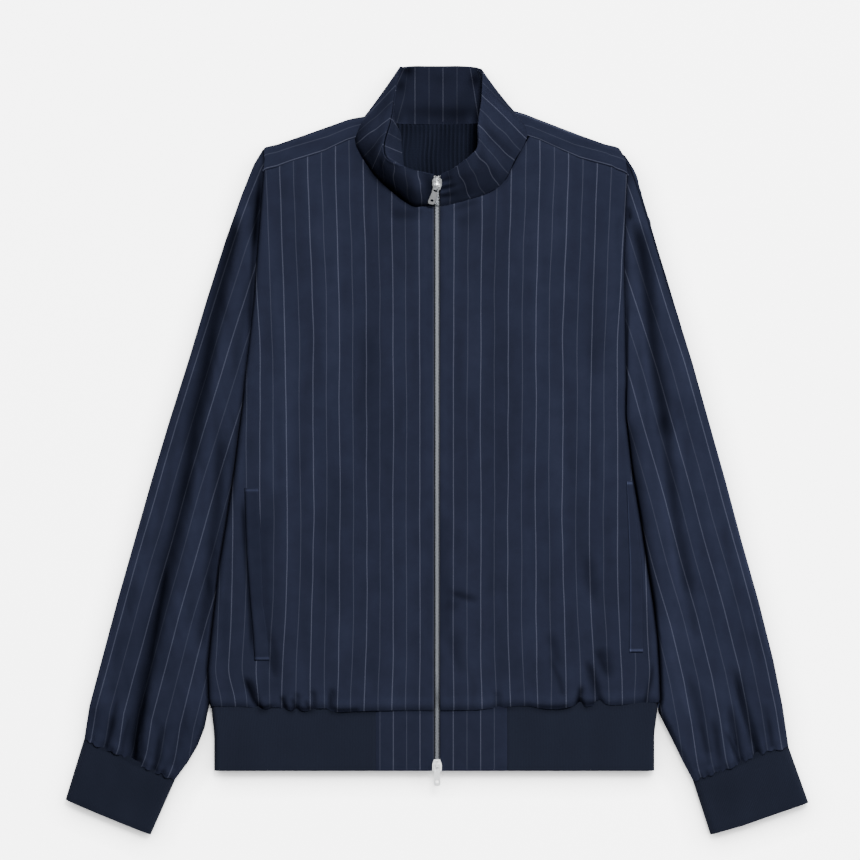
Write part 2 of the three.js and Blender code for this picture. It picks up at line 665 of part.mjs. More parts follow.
// Slider in its own frame: y 0 at the bar of the pull, z 0 at the outer side of the cloth.
// Two plates joined by a narrow post at the end towards +y.
function slider() {
  const { wide, long, plate, wedge, post, gap } = SLIDER;
  const low = -CLOTH - TAPE_DROP - TAPE - gap;
  const high = CHAIN_RISE + gap;
  const [y0, y1] = [-long / 2 + 1, long / 2 + 1];
  const slab = (from, to, under, over, across) =>
    body(profile([[from, under], [from, over], [to, over], [to, under]], across));
  const plan = new THREE.Shape([
    [-0.32 * wide, y0], [0.32 * wide, y0], [0.5 * wide, y0 + 5], [0.5 * wide, y1 - 1], [0.4 * wide, y1],
    [0.12 * wide, y1], [0, y1 - 1.2], [-0.12 * wide, y1], [-0.4 * wide, y1],
    [-0.5 * wide, y1 - 1], [-0.5 * wide, y0 + 5],
  ].map(([x, y]) => new THREE.Vector2(x, y)));
  const block = new THREE.ExtrudeGeometry(plan, { depth: 12, bevelEnabled: false }).translate(0, 0, -6);
  const base = high + plate;
  const { leg, roof, high: rise } = BRIDGE;
  const [b0, b1] = [-BRIDGE.long / 2, BRIDGE.long / 2];
  const arch = profile(
    [
      [b0, base - 0.5], [b1, base - 0.5], [b1, base + rise - 1.2],
      [b1 - 1.2, base + rise], [b0 + 1.2, base + rise], [b0, base + rise - 1.2],
    ],
    BRIDGE.wide,
    [[[b0 + leg, base], [b0 + leg, base + rise - roof], [b1 - leg, base + rise - roof], [b1 - leg, base]]],
  );
  const plates = wasm.Manifold.union([
    slab(y0, y1, high, high + plate, wide),
    slab(y0, y1, low - plate, low, wide),
    slab(y1 - wedge, y1, low - plate / 2, high + plate / 2, post),
  ]);
  return wasm.Manifold.union(wasm.Manifold.intersection(plates, body(block)), body(arch));
}

// Pull in the same frame: its bar on y 0 under the bridge, the tab towards -y.
const BAR_Z = CHAIN_RISE + SLIDER.gap + SLIDER.plate + 0.45 + PULL.thick / 2;
function pull() {
  const { wide, thick, long, slotWide, slotLong, bar, hole, holeAt } = PULL;
  const [w, top, end] = [wide / 2, bar / 2, bar / 2 - long];
  const half = [
    [w - 1.2, top], [w - 0.3, top - 0.4], [w, top - 1.2], [w - 0.5, top - 9.5],
    [w, end + 2], [w - 0.6, end + 0.6], [w - 2, end],
  ];
  const outline = [...half, ...half.slice().reverse().map(([x, y]) => [-x, y])];
  const points = (list) => list.map(([x, y]) => new THREE.Vector2(x, y));
  const shape = new THREE.Shape(points(outline));
  const [s, low] = [slotWide / 2, -bar / 2];
  const slot = [[-s, low], [-s, low - slotLong], [s, low - slotLong], [s, low]];
  shape.holes.push(new THREE.Path(points(slot)));
  const eye = even(12).slice(1).map((k) => 2 * Math.PI * k);
  const ring = eye.map((a) => [hole * Math.cos(a), top - holeAt + hole * Math.sin(a)]);
  shape.holes.push(new THREE.Path(points(ring)));
  const geometry = new THREE.ExtrudeGeometry(shape, { depth: thick, bevelEnabled: false });
  return geometryOf(body(geometry.translate(0, 0, BAR_Z - thick / 2)));
}

// Places a slider or pull on the zip: the bar at y, tilted with the cloth, turned end for end if asked.
function placed(geometry, y, turned, lean = 0) {
  const slope = turned ? 0 : Math.atan2(zipZ(y) - zipZ(y - 8), 8);
  const m = new THREE.Matrix4().makeTranslation(0, y, zipZ(y));
  m.multiply(new THREE.Matrix4().makeRotationX(slope));
  if (turned) m.multiply(new THREE.Matrix4().makeRotationZ(Math.PI));
  m.multiply(new THREE.Matrix4().makeRotationZ(THREE.MathUtils.degToRad(lean)));
  return geometry.clone().applyMatrix4(m);
}

// All pieces.
for (const side of ["right", "left"]) {
  const front = frontGrid(side, even(30), crowdedEnd(18));
  const under = inside(front, CLOTH, 1);
  under.flat().forEach((p) => (p.z = Math.max(p.z, BODY_H / 2 + SEAM / 2)));
  add(`front_${side}`, between(front, under), "shell");
  const lift = (out, y) => folds(`sleeve_${side}`, out, y);
  const sleeve = tube(side, sleeveLines(side), sleeveHeight, lift, even(22), 14);
  add(`sleeve_${side}`, wall(sleeve, CLOTH, 1, { ring: true, mark: [11, 7] }), "shell");
  const cuff = tube(side, cuffLines(side), () => CUFF_H, () => 0, even(3), 10);
  add(`cuff_${side}`, wall(cuff, RIB, 1, { ring: true, mark: [1, 5] }), "rib");
  add(`yoke_${side}`, wall(yokeGrid(side, even(7), 7), CLOTH, 1, { mark: [3, 1] }), "shell");
  add(`hem_panel_${side}`, wall(hemPanelGrid(side, even(3), 3), RIB, 1), "shell");
  add(`pocket_welt_${side}`, wall(weltGrid(side, front), WELT, 1), "shell");
  add(`zip_tape_${side}`, strip(sign(side) * 0.4, sign(side) * TAPE_W, -CLOTH - TAPE_DROP, TAPE), "tape");
}
const backColumns = [...crowdedEnd(12).slice(1).reverse().map((u) => -u), ...crowdedEnd(12)];
const back = backGrid(even(20), backColumns);
const backInside = inside(back, CLOTH, -1, { mark: [10, 12] });
backInside.flat().forEach((p) => (p.z = Math.min(p.z, BODY_H / 2 - SEAM / 2)));
add("back", between(back, backInside), "shell");
add("hem_rib", wall(hemGrid(even(3), 10), RIB, 1, { mark: [1, 1] }), "rib");
const places = even(44);
add("collar", wall(collarGrid(even(4), places), CLOTH, -1, { mark: [1, 22] }), "shell");
const facingPlaces = places.map((u) => lerp(0.048, 0.952, u));
const facing = facingGrid(even(4).map((v) => v * 0.97), facingPlaces);
add("collar_facing", wall(facing, FACING, -1, { mark: [1, 22] }), "shell");
const lining = [318, 300, 280, 260, 240, 225].map((y) =>
  [-80, -60, -40, -20, 0, 20, 40, 60, 80].map((x) => new THREE.Vector3(x, y, CLOTH + SEAM + 1)));
add("back_lining", wall(lining, 1, 1), "lining");
add("zip_chain", strip(-CHAIN_W / 2, CHAIN_W / 2, CHAIN_RISE, CHAIN_H), "metal");
add("zip_slider_top", placed(geometryOf(slider()), TOP_BAR_Y, false), "metal");
add("zip_pull_top", placed(pull(), TOP_BAR_Y, false, -TOP_PULL_LEAN), "metal");
add("zip_slider_bottom", placed(geometryOf(slider()), BOTTOM_BAR_Y, true), "metal");
add("zip_pull_bottom", placed(pull(), BOTTOM_BAR_Y, false), "metal");

export default jacket;
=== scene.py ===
import math

import bmesh
import bpy
import numpy as np
from mathutils import Matrix, Vector, noise


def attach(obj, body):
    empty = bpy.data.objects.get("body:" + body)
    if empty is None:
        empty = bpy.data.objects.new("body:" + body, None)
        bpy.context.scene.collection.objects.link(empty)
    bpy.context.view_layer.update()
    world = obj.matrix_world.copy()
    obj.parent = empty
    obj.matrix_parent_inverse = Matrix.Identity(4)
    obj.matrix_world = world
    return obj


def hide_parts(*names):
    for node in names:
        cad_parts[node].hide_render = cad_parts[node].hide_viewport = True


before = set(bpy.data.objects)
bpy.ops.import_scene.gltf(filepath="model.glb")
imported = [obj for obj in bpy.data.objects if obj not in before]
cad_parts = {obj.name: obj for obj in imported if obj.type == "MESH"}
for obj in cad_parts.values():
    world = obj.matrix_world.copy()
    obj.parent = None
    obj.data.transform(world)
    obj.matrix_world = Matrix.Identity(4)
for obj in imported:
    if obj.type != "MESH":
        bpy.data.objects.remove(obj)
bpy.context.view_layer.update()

# Track jacket laid flat on its back. Cloth is worked out in mm and made in metres.
# X is across, 0 at the zip; Y is up the garment; Z is up from the floor.
# "out" is a distance from the zip towards a side; the wearer's right is at -X.
MM = 0.001
np.random.seed(7)

# Driving sizes, the same as the solids'.
CLOTH = 1.4
FACING = 1.1
RIB = 2.2
SEAM = 0.3
BODY_H = 14.0
SLEEVE_H = 14.0
CUFF_H = 10.0
HEM_H = 11.5
SHOULDER_H = 13.0
ROUND = 7.0
ARMHOLE_DIP = 2.6
WELT = 1.1
FRONT_EDGE = 3.3
HEM_SEAM_Y = -258.0
HEM_END_Y = -320.0
UNDERARM_Y = 50.0

# Side of the body, and the armhole seam above the underarm: y, out on the right, out on the left.
SIDE = [
    (302, 173, 181.5), (290, 172, 188), (275, 173, 190), (250, 175, 188.5), (188, 180, 187),
    (150, 182.5, 187.5), (113, 186.5, 188), (75, 191, 188.5), (30, 196.5, 189), (-22, 203, 195),
    (-75, 211, 204), (-117, 218, 210), (-154, 222, 216), (-188, 226, 220), (-220, 229, 222),
    (-249, 228, 223), (-258, 226, 221),
]
OUT_COLUMN = {"right": 1, "left": 2}
# Outer edge of each sleeve from the shoulder tip to the cuff, as out, y.
SLEEVE_OUTER = {
    "right": [
        (173.5, 300.5), (183, 285), (195, 255), (211, 210), (230, 150), (248, 90), (267, 30), (285, -30),
        (302, -90), (319, -150), (335, -210), (347, -255), (352, -287),
    ],
    "left": [
        (181.5, 300.5), (192, 285), (202, 255), (216, 210), (235, 150), (254, 90), (271, 30), (288, -30),
        (304, -90), (321, -150), (336, -210), (345, -255), (351, -296),
    ],
}
SLEEVE_INNER_END = {
    "right": [(226.6, -250), (229, -262), (232, -277), (239, -295), (249, -312), (261.5, -329)],
    "left": [(221.4, -256), (220.6, -259), (221.5, -262.5), (236, -291.5), (246, -312), (255.5, -330)],
}
CUFF_SEAM = {
    "right": [(352, -287), (336, -296), (319, -302), (302, -312), (277, -322), (261.5, -329)],
    "left": [(351, -296), (330, -300), (317, -305), (301, -313), (280, -321), (255.5, -330)],
}
CUFF_END = {
    "right": [(371, -349), (343, -361), (314, -373), (286, -384)],
    "left": [(371, -352), (336, -364), (305, -375), (273, -384)],
}
YOKE_SEAM = {
    "right": [(82, 312.5), (112, 298), (147, 287), (172.3, 277.5)],
    "left": [(93, 313.5), (118, 302), (143, 291), (175, 282.5), (189.5, 273)],
}
SHOULDER = {
    "right": [(71, 334), (89, 330), (131, 315), (173, 300.5)],
    "left": [(76, 340), (88, 335.5), (102, 330), (141, 315), (181.5, 300.5)],
}
NECK = {
    "right": [(3, 242), (25, 242.5), (37, 249), (50, 261), (66, 278), (75, 291), (81, 304), (82, 312)],
    "left": [(3, 243), (25, 248), (43, 253), (55, 256.5), (69, 268.5), (80, 290), (89, 306), (93, 313)],
}
# Collar, a row per place round the neck: seam to the body, upper edge, end of the inner layer; each x, y, z.
COLLAR = [
    ((-3.4, 243.5, 14), (-3.4, 273, 33), (-4, 247, 9)),
    ((-14, 243, 14), (-16, 276, 35), (-17, 250, 8.5)),
    ((-26, 244, 14.5), (-31, 280, 38), (-27, 258, 8)),
    ((-50, 262, 14.5), (-50, 288, 41), (-33, 279, 7.5)),
    ((-66, 279, 14), (-54, 303, 41), (-36, 298, 7.5)),
    ((-80, 303, 13.5), (-47, 328, 34), (-38, 318, 7)),
    ((-80, 319, 12), (-43, 353, 23), (-52, 327, 7)),
    ((-71, 334, 7), (-38.5, 380, 9), (-64, 331, 5.5)),
    ((-60, 329, 1), (-33, 383, 2.5), (-54, 328, 3.5)),
    ((-40, 325, 0), (-23, 384, 0), (-38, 326, 3)),
    ((-18, 323.8, 0), (-9, 383.9, 0), (-17, 325.3, 3)),
    ((4, 323.5, 0), (6, 383.9, 0), (4, 325, 3)),
    ((28, 324, 0), (22, 384, 0), (26, 325.5, 3)),
    ((52, 327, 0.6), (37, 383, 1.2), (48, 327.5, 3.2)),
    ((66, 334, 2.5), (42, 381.5, 4), (61, 332, 4)),
    ((74, 340, 7), (45.5, 378.5, 9), (69, 334, 6)),
    ((90, 321, 12.5), (45, 364, 18), (80, 321, 8)),
    ((87, 305, 13.5), (44, 347, 26), (79, 306, 8.5)),
    ((78, 290, 14), (41, 325, 33), (71, 293, 9)),
    ((68, 270, 14.5), (40.5, 302, 38), (62, 275, 9)),
    ((54, 258, 14.5), (32, 291, 40), (49, 263, 9)),
    ((28, 249, 14.5), (17, 279, 38), (26, 254, 9)),
    ((13, 244.8, 14.2), (10, 276, 35), (14, 250, 9)),
    ((3.4, 243.5, 14), (3.4, 273, 33), (4, 248, 9)),
]
COLLAR_BULGE = 3.5

# Folds, and after them the finer creases that show only here: the line each follows as out, y; how far it
# rises, negative down; how wide it is.
FOLDS = {
    "sleeve_right": [
        ([(198, 238), (205, 210), (212, 183), (223, 130), (233, 75), (243, 30), (247, -10), (260, -70),
          (272, -128), (284, -186), (294, -238), (302, -286), (302, -308)], -9.0, 7.5),
        ([(217, 17), (219, -28), (222, -62), (231, -150), (240, -207)], -4.6, 6.5),
        ([(222, 200), (240, 140), (262, 70), (283, -10), (306, -100), (322, -180), (334, -250)], 2.2, 14),
        ([(322, -262), (328, -285), (331, -297)], -3.4, 4), ([(272, -270), (279, -300), (282, -318)], -3, 4),
        ([(180, 262), (186, 236), (192, 205)], -1.4, 5), ([(186, 180), (192, 140), (200, 100), (206, 60)], -1.2, 6),
        ([(214, 120), (222, 70), (228, 20)], 0.9, 7), ([(252, 60), (262, 10), (272, -50), (284, -110)], -1.1, 6),
        ([(266, 0), (280, -60), (294, -130), (308, -200)], 0.9, 7),
        ([(236, 0), (242, -60), (250, -120), (262, -180)], 1.0, 8),
        ([(230, -110), (242, -150), (256, -190)], -1.0, 5), ([(300, -120), (314, -180), (326, -240)], -0.9, 6),
        ([(250, -250), (256, -280), (264, -312)], -1.3, 4.5), ([(312, -250), (318, -275), (322, -296)], 1.2, 4),
        ([(290, -262), (292, -285), (292, -306)], 1.2, 4.5), ([(341, -255), (344, -272), (345, -286)], -1.1, 4),
    ],
    "sleeve_left": [
        ([(194, 232), (199, 215), (204, 195), (209, 163), (215, 100), (223, 50), (228, 5)], -6.6, 7.0),
        ([(224, 40), (229, -10), (238, -75), (249, -135), (252, -155)], -5.0, 6.4),
        ([(249, -130), (252, -155), (259, -200)], -2.6, 6.0),
        ([(228, 200), (247, 130), (268, 50), (286, -30), (304, -110), (322, -200)], 2.2, 14),
        ([(296, -215), (302, -246), (313, -280), (319, -304)], -5, 4.5),
        ([(290, -250), (298, -296), (303, -312)], -4, 4), ([(274, -265), (279, -300), (282, -318)], -3.4, 4),
        ([(248, -220), (262, -270), (270, -300)], -3, 6), ([(192, 255), (205, 225), (214, 185)], 1.0, 7),
        ([(200, 120), (204, 60), (212, 0)], -1.2, 6), ([(236, 60), (248, 0), (258, -60), (266, -120)], -1.1, 7),
        ([(226, -40), (236, -110), (248, -170)], 1.0, 8), ([(262, -20), (276, -90), (288, -160)], 0.9, 8),
        ([(280, -60), (292, -120), (302, -170)], -0.9, 6), ([(306, -130), (318, -190), (328, -245)], -0.9, 6),
        ([(232, -190), (240, -230), (250, -262)], 1.0, 6), ([(262, -262), (268, -290), (272, -314)], 1.2, 4.5),
        ([(288, -268), (292, -292), (293, -310)], 1.3, 4), ([(324, -250), (329, -276), (332, -294)], -1.5, 4),
        ([(340, -262), (342, -280), (343, -292)], -1.0, 3.5),
    ],
    "front_right": [
        ([(190, -225), (184, -244), (177, -258)], -4, 4), ([(169, -175), (159, -233)], -2.6, 5),
        ([(153, -244), (153, -258)], -3, 3.4), ([(140, -241), (140, -258)], -3, 3.4),
        ([(124, -238), (124, -258)], -3, 3.4), ([(105, -236), (105, -258)], -3, 3.8),
        ([(150, 150), (158, 20), (170, -60)], 1.2, 16), ([(52, 236), (40, 232), (14, 234)], -2.4, 6),
        ([(171, 240), (158, 120), (150, 0), (156, -120)], 0.9, 9), ([(120, 270), (112, 150), (108, 20)], 0.7, 14),
        ([(60, 230), (66, 120), (62, 0), (70, -120)], -0.6, 16), ([(30, 60), (34, -60), (28, -200)], 0.5, 12),
        ([(96, -60), (90, -160), (98, -230)], 0.8, 10), ([(130, -90), (134, -160), (128, -225)], -0.7, 9),
        ([(190, 60), (196, -10), (199, -60)], 1.0, 7), ([(204, -90), (212, -150), (216, -220)], -1.0, 5),
        ([(164, 262), (150, 252), (128, 248)], -0.7, 7),
    ],
    "front_left": [
        ([(148, -207), (161, -252)], -4.4, 4.5), ([(143, -246), (143, -258)], -4, 3.6),
        ([(148, -96), (151, -128), (161, -165)], -3, 8), ([(161, -194), (174, -233)], -3, 7),
        ([(111, -180), (122, -223)], -2.4, 6), ([(13, -142), (45, -152)], -1.5, 4),
        ([(11, -180), (27, -233)], -2.0, 7), ([(60, -240), (60, -258)], -2.6, 4),
        ([(176, 250), (172, 120), (170, 0), (176, -120)], 0.8, 10),
        ([(120, 265), (122, 140), (116, 10), (124, -110)], 0.6, 15),
        ([(58, 225), (54, 90), (60, -40), (52, -160)], -0.6, 15), ([(30, 120), (36, 0), (30, -110)], 0.5, 12),
        ([(86, -70), (92, -150), (84, -232)], 0.8, 11), ([(184, 245), (187, 238), (190, 232)], -1.4, 2.5),
        ([(186, 242), (180, 225), (178, 200)], -0.7, 5), ([(136, -150), (132, -190), (138, -230)], -0.8, 6),
        ([(196, -120), (208, -170), (212, -230)], -1.0, 6), ([(100, -200), (96, -228), (98, -250)], -0.9, 5),
        ([(30, -215), (36, -236), (34, -256)], -0.8, 4),
    ],
}
POCKET = {
    "right": [(-38, 178, 192), (-102, 174.5, 190), (-154, 173, 186), (-182, 169, 183.5), (-210, 167, 182)],
    "left": [(-31, 189, 194), (-75, 190.5, 200), (-117, 192, 204.5), (-160, 192, 205.5), (-202, 191.7, 205.5)],
}
CUFF_W = 96.0
HEM_PANEL = {"right": 61.0, "left": 70.0}
HEM_SIDE = {"right": (225.0, 222.5), "left": (220.0, 217.0)}

# Pinstripe: distance between stripes, and how far from the zip the first lies.
STRIPE_PITCH = {"right": 13.3, "left": 13.65}
FIRST_STRIPE = {"right": 17.0, "left": 16.2}

# Zip.
TEETH_PITCH = 1.45
TAPE_W = 12.0
TOP_BAR_Y = 264.0
BOTTOM_BAR_Y = -313.3


# Small tools on arrays.
def lerp(a, b, t):
    return a + (b - a) * t


def smooth(a, b, x):
    t = np.clip((x - a) / (b - a), 0, 1)
    return t * t * (3 - 2 * t)


def bell(x, wide):
    """1 at x = 0, falling smoothly to 0 a few widths away."""
    return np.exp(-((x / wide) ** 2))


def stack(*parts):
    return np.stack(parts, -1)


def sign(side):
    return -1 if side == "right" else 1


def column(table, k, y):
    """Column k of a table whose first column, y, falls down the rows."""
    rows = np.array(table, float)[::-1]
    return np.interp(y, rows[:, 0], rows[:, k])


def along(line, t):
    """Points along a line of points, t from 0 to 1 by length."""
    p = np.array(line, float)
    far = np.concatenate([[0], np.cumsum(np.linalg.norm(np.diff(p, axis=0), axis=1))])
    d = np.clip(t, 0, 1) * far[-1]
    return stack(*(np.interp(d, far, p[:, k]) for k in range(p.shape[1])))


def height_at(line, out):
    p = np.array(line, float)
    return np.interp(out, p[:, 0], p[:, 1])


# A fold fades over this length at each end, but not where it runs into the gathers below this height.
FADE = 26.0
GATHERED_BELOW = -235


def reach(out, y, line):
    """Distance from a line, and how much of the fold there is beside each place along it, 0 to 1."""
    best, place, gone = np.full(np.shape(out), 1e9), 0 * out, 0
    for a, b in zip(line, line[1:]):
        dx, dy = b[0] - a[0], b[1] - a[1]
        k = np.clip(((out - a[0]) * dx + (y - a[1]) * dy) / (dx * dx + dy * dy), 0, 1)
        far = np.hypot(out - a[0] - k * dx, y - a[1] - k * dy)
        place = np.where(far < best, gone + k * math.hypot(dx, dy), place)
        best = np.minimum(best, far)
        gone += math.hypot(dx, dy)
    span = min(FADE, 0.35 * gone)
    fade = smooth(0, span, place)
    return best, fade * smooth(gone, gone - span, place) if line[-1][1] > GATHERED_BELOW else fade


def crease_sum(rows, out, y):
    total = 0
    for line, rise, wide in rows:
        far, fade = reach(out, y, line)
        total = total + rise * fade * bell(far, wide)
    return total


# Painted shade: soft dark bands where the cloth turns away or lies in a hollow, a painted highlight where the
# darkness is below 0: line, how dark (0 to 1), width.
SHADE_BANDS = {
    "sleeve_right": [
        ([(198, 240), (210, 199), (220, 160), (229, 93), (236.5, 60), (246, 16), (257, -60)], 0.12, 8),
        ([(212, 205), (232, 150), (250, 90), (268, 30), (286, -30), (302, -90)], 0.1, 9),
        ([(176, 290), (180, 262), (184, 240)], 0.2, 9),
        ([(175, 290), (177.5, 262), (180, 235), (183, 200), (186, 150), (188, 110)], 0.5, 2.4),
        ([(176, 272), (178, 252), (181, 225), (183, 190)], 0.72, 3.6),
        ([(186, 180), (192, 140), (200, 100), (206, 60)], 0.12, 6),
        ([(268, -107), (281, -184), (291, -245), (300.5, -299), (302, -310)], 0.5, 2.6),
        ([(290, -235), (300, -290), (301, -306)], 0.5, 3.2), ([(293, -240), (294.7, -261), (297.8, -299)], -0.7, 1.1),
        ([(317, -243), (329, -294)], 0.4, 2.2), ([(306, -262), (314, -296)], 0.3, 2.0),
        ([(276, -280), (281, -318)], 0.3, 2.2),
    ],
    "sleeve_left": [
        ([(200, 215), (209, 163), (215, 100), (225, 30)], 0.12, 7), ([(190, 245), (192, 238), (193, 230)], 0.5, 3),
        ([(214, 192), (228, 145), (243, 95), (256, 40)], -0.25, 6),
        ([(191, 40), (195, -10), (203, -60), (212, -120), (219, -180)], 0.5, 7),
        ([(214, 200), (232, 150), (250, 90)], 0.1, 8), ([(191, 236), (193.5, 228)], 0.55, 2.6),
        ([(296, -215), (305, -261), (320.5, -303)], 0.35, 2.0), ([(286, -276), (301, -310)], 0.45, 2.0),
        ([(330, -262), (334, -294)], 0.3, 2.0), ([(262, -262), (271, -312)], 0.25, 2.4),
    ],
    "front_right": [
        ([(66, 130), (70, 60), (72, 20)], 0.1, 9), ([(100, -20), (96, -100), (92, -170)], 0.1, 12),
        ([(4, 238), (16, 238), (30, 246), (46, 258), (62, 272), (74, 290), (80, 304)], 0.45, 3.2),
        ([(10, 232), (34, 236), (54, 252), (70, 272)], 0.15, 9),
        ([(193.5, -42), (192, -80), (188.5, -125), (186, -160), (183.5, -208)], 0.6, 2.6),
        ([(176, -60), (172, -102), (170, -154), (166, -200)], 0.15, 5),
        ([(164, -30), (160, -100), (160, -180)], 0.12, 8),
        ([(193, -222), (187, -238), (182, -250), (176, -257)], 0.72, 2.6),
        ([(182, -256), (174, -257.5), (166, -255.5)], 0.6, 2.2), ([(156, -243), (151, -256)], 0.6, 2.2),
        ([(151, -257), (143, -258.5), (126, -258)], 0.5, 2.6), ([(145, -246), (141, -256)], 0.5, 2.6),
        ([(131, -248), (128, -257)], 0.42, 2.2), ([(107, -240), (106, -257)], 0.42, 2.4),
        ([(108, -257), (98, -259.5), (80, -259)], 0.55, 2.6), ([(170, -196), (165, -212), (160, -230)], 0.3, 3.4),
    ],
    "front_left": [
        ([(155, 190), (158, 130), (157, 70)], 0.15, 9), ([(10, 238), (26, 244), (46, 250)], 0.3, 3.5),
        ([(14, 226), (30, 230), (46, 238)], 0.2, 7), ([(4, -60), (8, -140), (10, -200)], 0.12, 8),
        ([(140, -40), (146, -90), (150, -150)], 0.14, 9), ([(8, -140), (26, -146), (42, -151)], 0.35, 3.5),
        ([(8, -150), (22, -160)], 0.2, 7), ([(111, -202), (116, -215), (122, -228), (125, -241)], 0.32, 3.2),
        ([(145, -232), (142, -246), (141, -255)], 0.75, 3.2), ([(157, -195), (167, -218), (172, -230)], 0.32, 3.8),
        ([(216, -208), (213, -230), (208, -250)], 0.5, 2.4), ([(80, -253.5), (108, -256.5), (128, -255.5)], 0.5, 2.4),
        ([(134, -253), (163, -251.5)], 0.55, 2.2),
    ],
}


def fold_shade(piece, out, y):
    """Painted shade and highlight: how much of the light reaches the cloth, 1 for all of it: less in the folds and
    shade bands, more on ridges, with soft uneven waves.
    """
    light = 1 + 0 * out
    for line, rise, wide in FOLDS[piece]:
        dark = np.clip(-0.09 * rise, -0.1, 0.6)
        far, fade = reach(out, y, line)
        light = light * (1 - dark * fade * bell(far, 0.55 * wide + 0.8))
    for line, dark, wide in SHADE_BANDS[piece]:
        far, fade = reach(out, y, line)
        light = light * (1 - dark * fade * bell(far, wide))
    return light * (1 + 0.05 * ripple(out, y, (9, 120), 12.5) + 0.05 * ripple(out, y, (32, 150), 16.5))


def rounding(d, r=ROUND):
    return np.sqrt(1 - (1 - np.clip(d / r, 0, 1)) ** 2)


def crowded(n):
    return (1 - np.cos(np.pi * np.arange(n + 1) / n)) / 2


def crowded_end(n, blend=0.55):
    """Steps from 0 to 1 that crowd a little towards the far end."""
    t = np.arange(n + 1) / n
    return blend * np.sin(np.pi / 2 * t) + (1 - blend) * t


def even(n):
    return np.arange(n + 1) / n


def ripple(x, y, scale, seed):
    """Soft uneven waves between -1 and 1."""
    flat = [
        noise.noise(Vector((a / scale[0], b / scale[1], seed)))
        for a, b in zip(np.ravel(x), np.ravel(y))
    ]
    return np.array(flat).reshape(np.shape(x)) * 1.8


# Grids of points to cloth.
def normals(grid, ring=False):
    du = np.gradient(grid, axis=0)
    dv = (np.roll(grid, -1, 1) - np.roll(grid, 1, 1)) if ring else np.gradient(grid, axis=1)
    n = np.cross(du, dv)
    return n / np.maximum(np.linalg.norm(n, axis=2, keepdims=True), 1e-9)


def inside(grid, thick, faces, ring=False, mark=(0, 0)):
    """The inner side of a wall; faces is 1 if its outer side looks up at the marked point."""
    n = normals(grid, ring)
    return grid - n * thick * (1 if n[mark][2] * faces > 0 else -1)


def wall(name, outer, inner, uv, ring=False, light=1.0):
    """A closed shell between two grids, its cloth coordinates uv in mm, light the share that reaches it, painted into
    its colour as shade.
    """
    rows, cols = outer.shape[:2]
    spots = np.concatenate([outer.reshape(-1, 3), inner.reshape(-1, 3)]) * MM
    half = rows * cols
    a = np.arange(half).reshape(rows, cols)
    b = a + half
    if ring:
        a = np.concatenate([a, a[:, :1]], 1)
        b = np.concatenate([b, b[:, :1]], 1)

    def quads(p, q, r, s):
        return np.stack([p.ravel(), q.ravel(), r.ravel(), s.ravel()], 1)

    faces = [
        quads(a[:-1, :-1], a[1:, :-1], a[1:, 1:], a[:-1, 1:]),
        quads(b[:-1, 1:], b[1:, 1:], b[1:, :-1], b[:-1, :-1]),
        quads(a[0, :-1], a[0, 1:], b[0, 1:], b[0, :-1]),
        quads(a[-1, 1:], a[-1, :-1], b[-1, :-1], b[-1, 1:]),
    ]
    if not ring:
        faces += [
            quads(a[1:, 0], a[:-1, 0], b[:-1, 0], b[1:, 0]),
            quads(a[:-1, -1], a[1:, -1], b[1:, -1], b[:-1, -1]),
        ]
    faces = np.concatenate(faces)
    p, q, r = spots[faces[:, 0]], spots[faces[:, 1]], spots[faces[:, 2]]
    s = spots[faces[:, 3]]
    volume = np.einsum("ij,ij->", p, np.cross(q, r)) + np.einsum("ij,ij->", p, np.cross(r, s))
    if volume < 0:
        faces = faces[:, ::-1]
    mesh = bpy.data.meshes.new(name)
    mesh.from_pydata(spots.tolist(), [], faces.tolist())
    coords = np.concatenate([uv.reshape(-1, 2), uv.reshape(-1, 2)])
    layer = mesh.uv_layers.new(name="cloth")
    at = np.empty(len(mesh.loops), int)
    mesh.loops.foreach_get("vertex_index", at)
    layer.data.foreach_set("uv", coords[at].astype(np.float32).ravel())
    share = np.tile(np.broadcast_to(light, (rows, cols)).ravel(), 2).astype(np.float32)
    mesh.attributes.new("fold_shade", "FLOAT", "POINT").data.foreach_set("value", share)
    mesh.shade_smooth()
    mesh.set_sharp_from_angle(angle=math.radians(55))
    obj = bpy.data.objects.new(name, mesh)
    bpy.context.scene.collection.objects.link(obj)
    return obj


def grid_of(side, out, y, z):
    return stack(sign(side) * out + 0 * z, y + 0 * z, z + 0 * out)


# Body.
def side_out(side, y):
    return column(SIDE, OUT_COLUMN[side], y)


def side_fall(y):
    return lerp(BODY_H / 2 - SEAM / 2, ARMHOLE_DIP, smooth(UNDERARM_Y + 2, UNDERARM_Y + 16, y))


# Small gathers along a seam: each is a place across, how far it dips, its width and how far up it runs.
def gathers(seed, start, end, pitch, deep, long):
    rng = np.random.RandomState(seed)
    rows, x = [], start
    while x < end:
        rows.append((x, deep * rng.uniform(0.45, 1), rng.uniform(0.2, 0.34) * pitch, long * rng.uniform(0.45, 1.2)))
        x += pitch * rng.uniform(0.65, 1.4)
    return rows


HEM_GATHERS = {
    "right": gathers(3, 84, 222, 15, 0.8, 24) + gathers(5, 14, 84, 17, 0.4, 15),
    "left": gathers(9, 90, 218, 17, 0.7, 22) + gathers(11, 14, 90, 17, 0.4, 14),
}
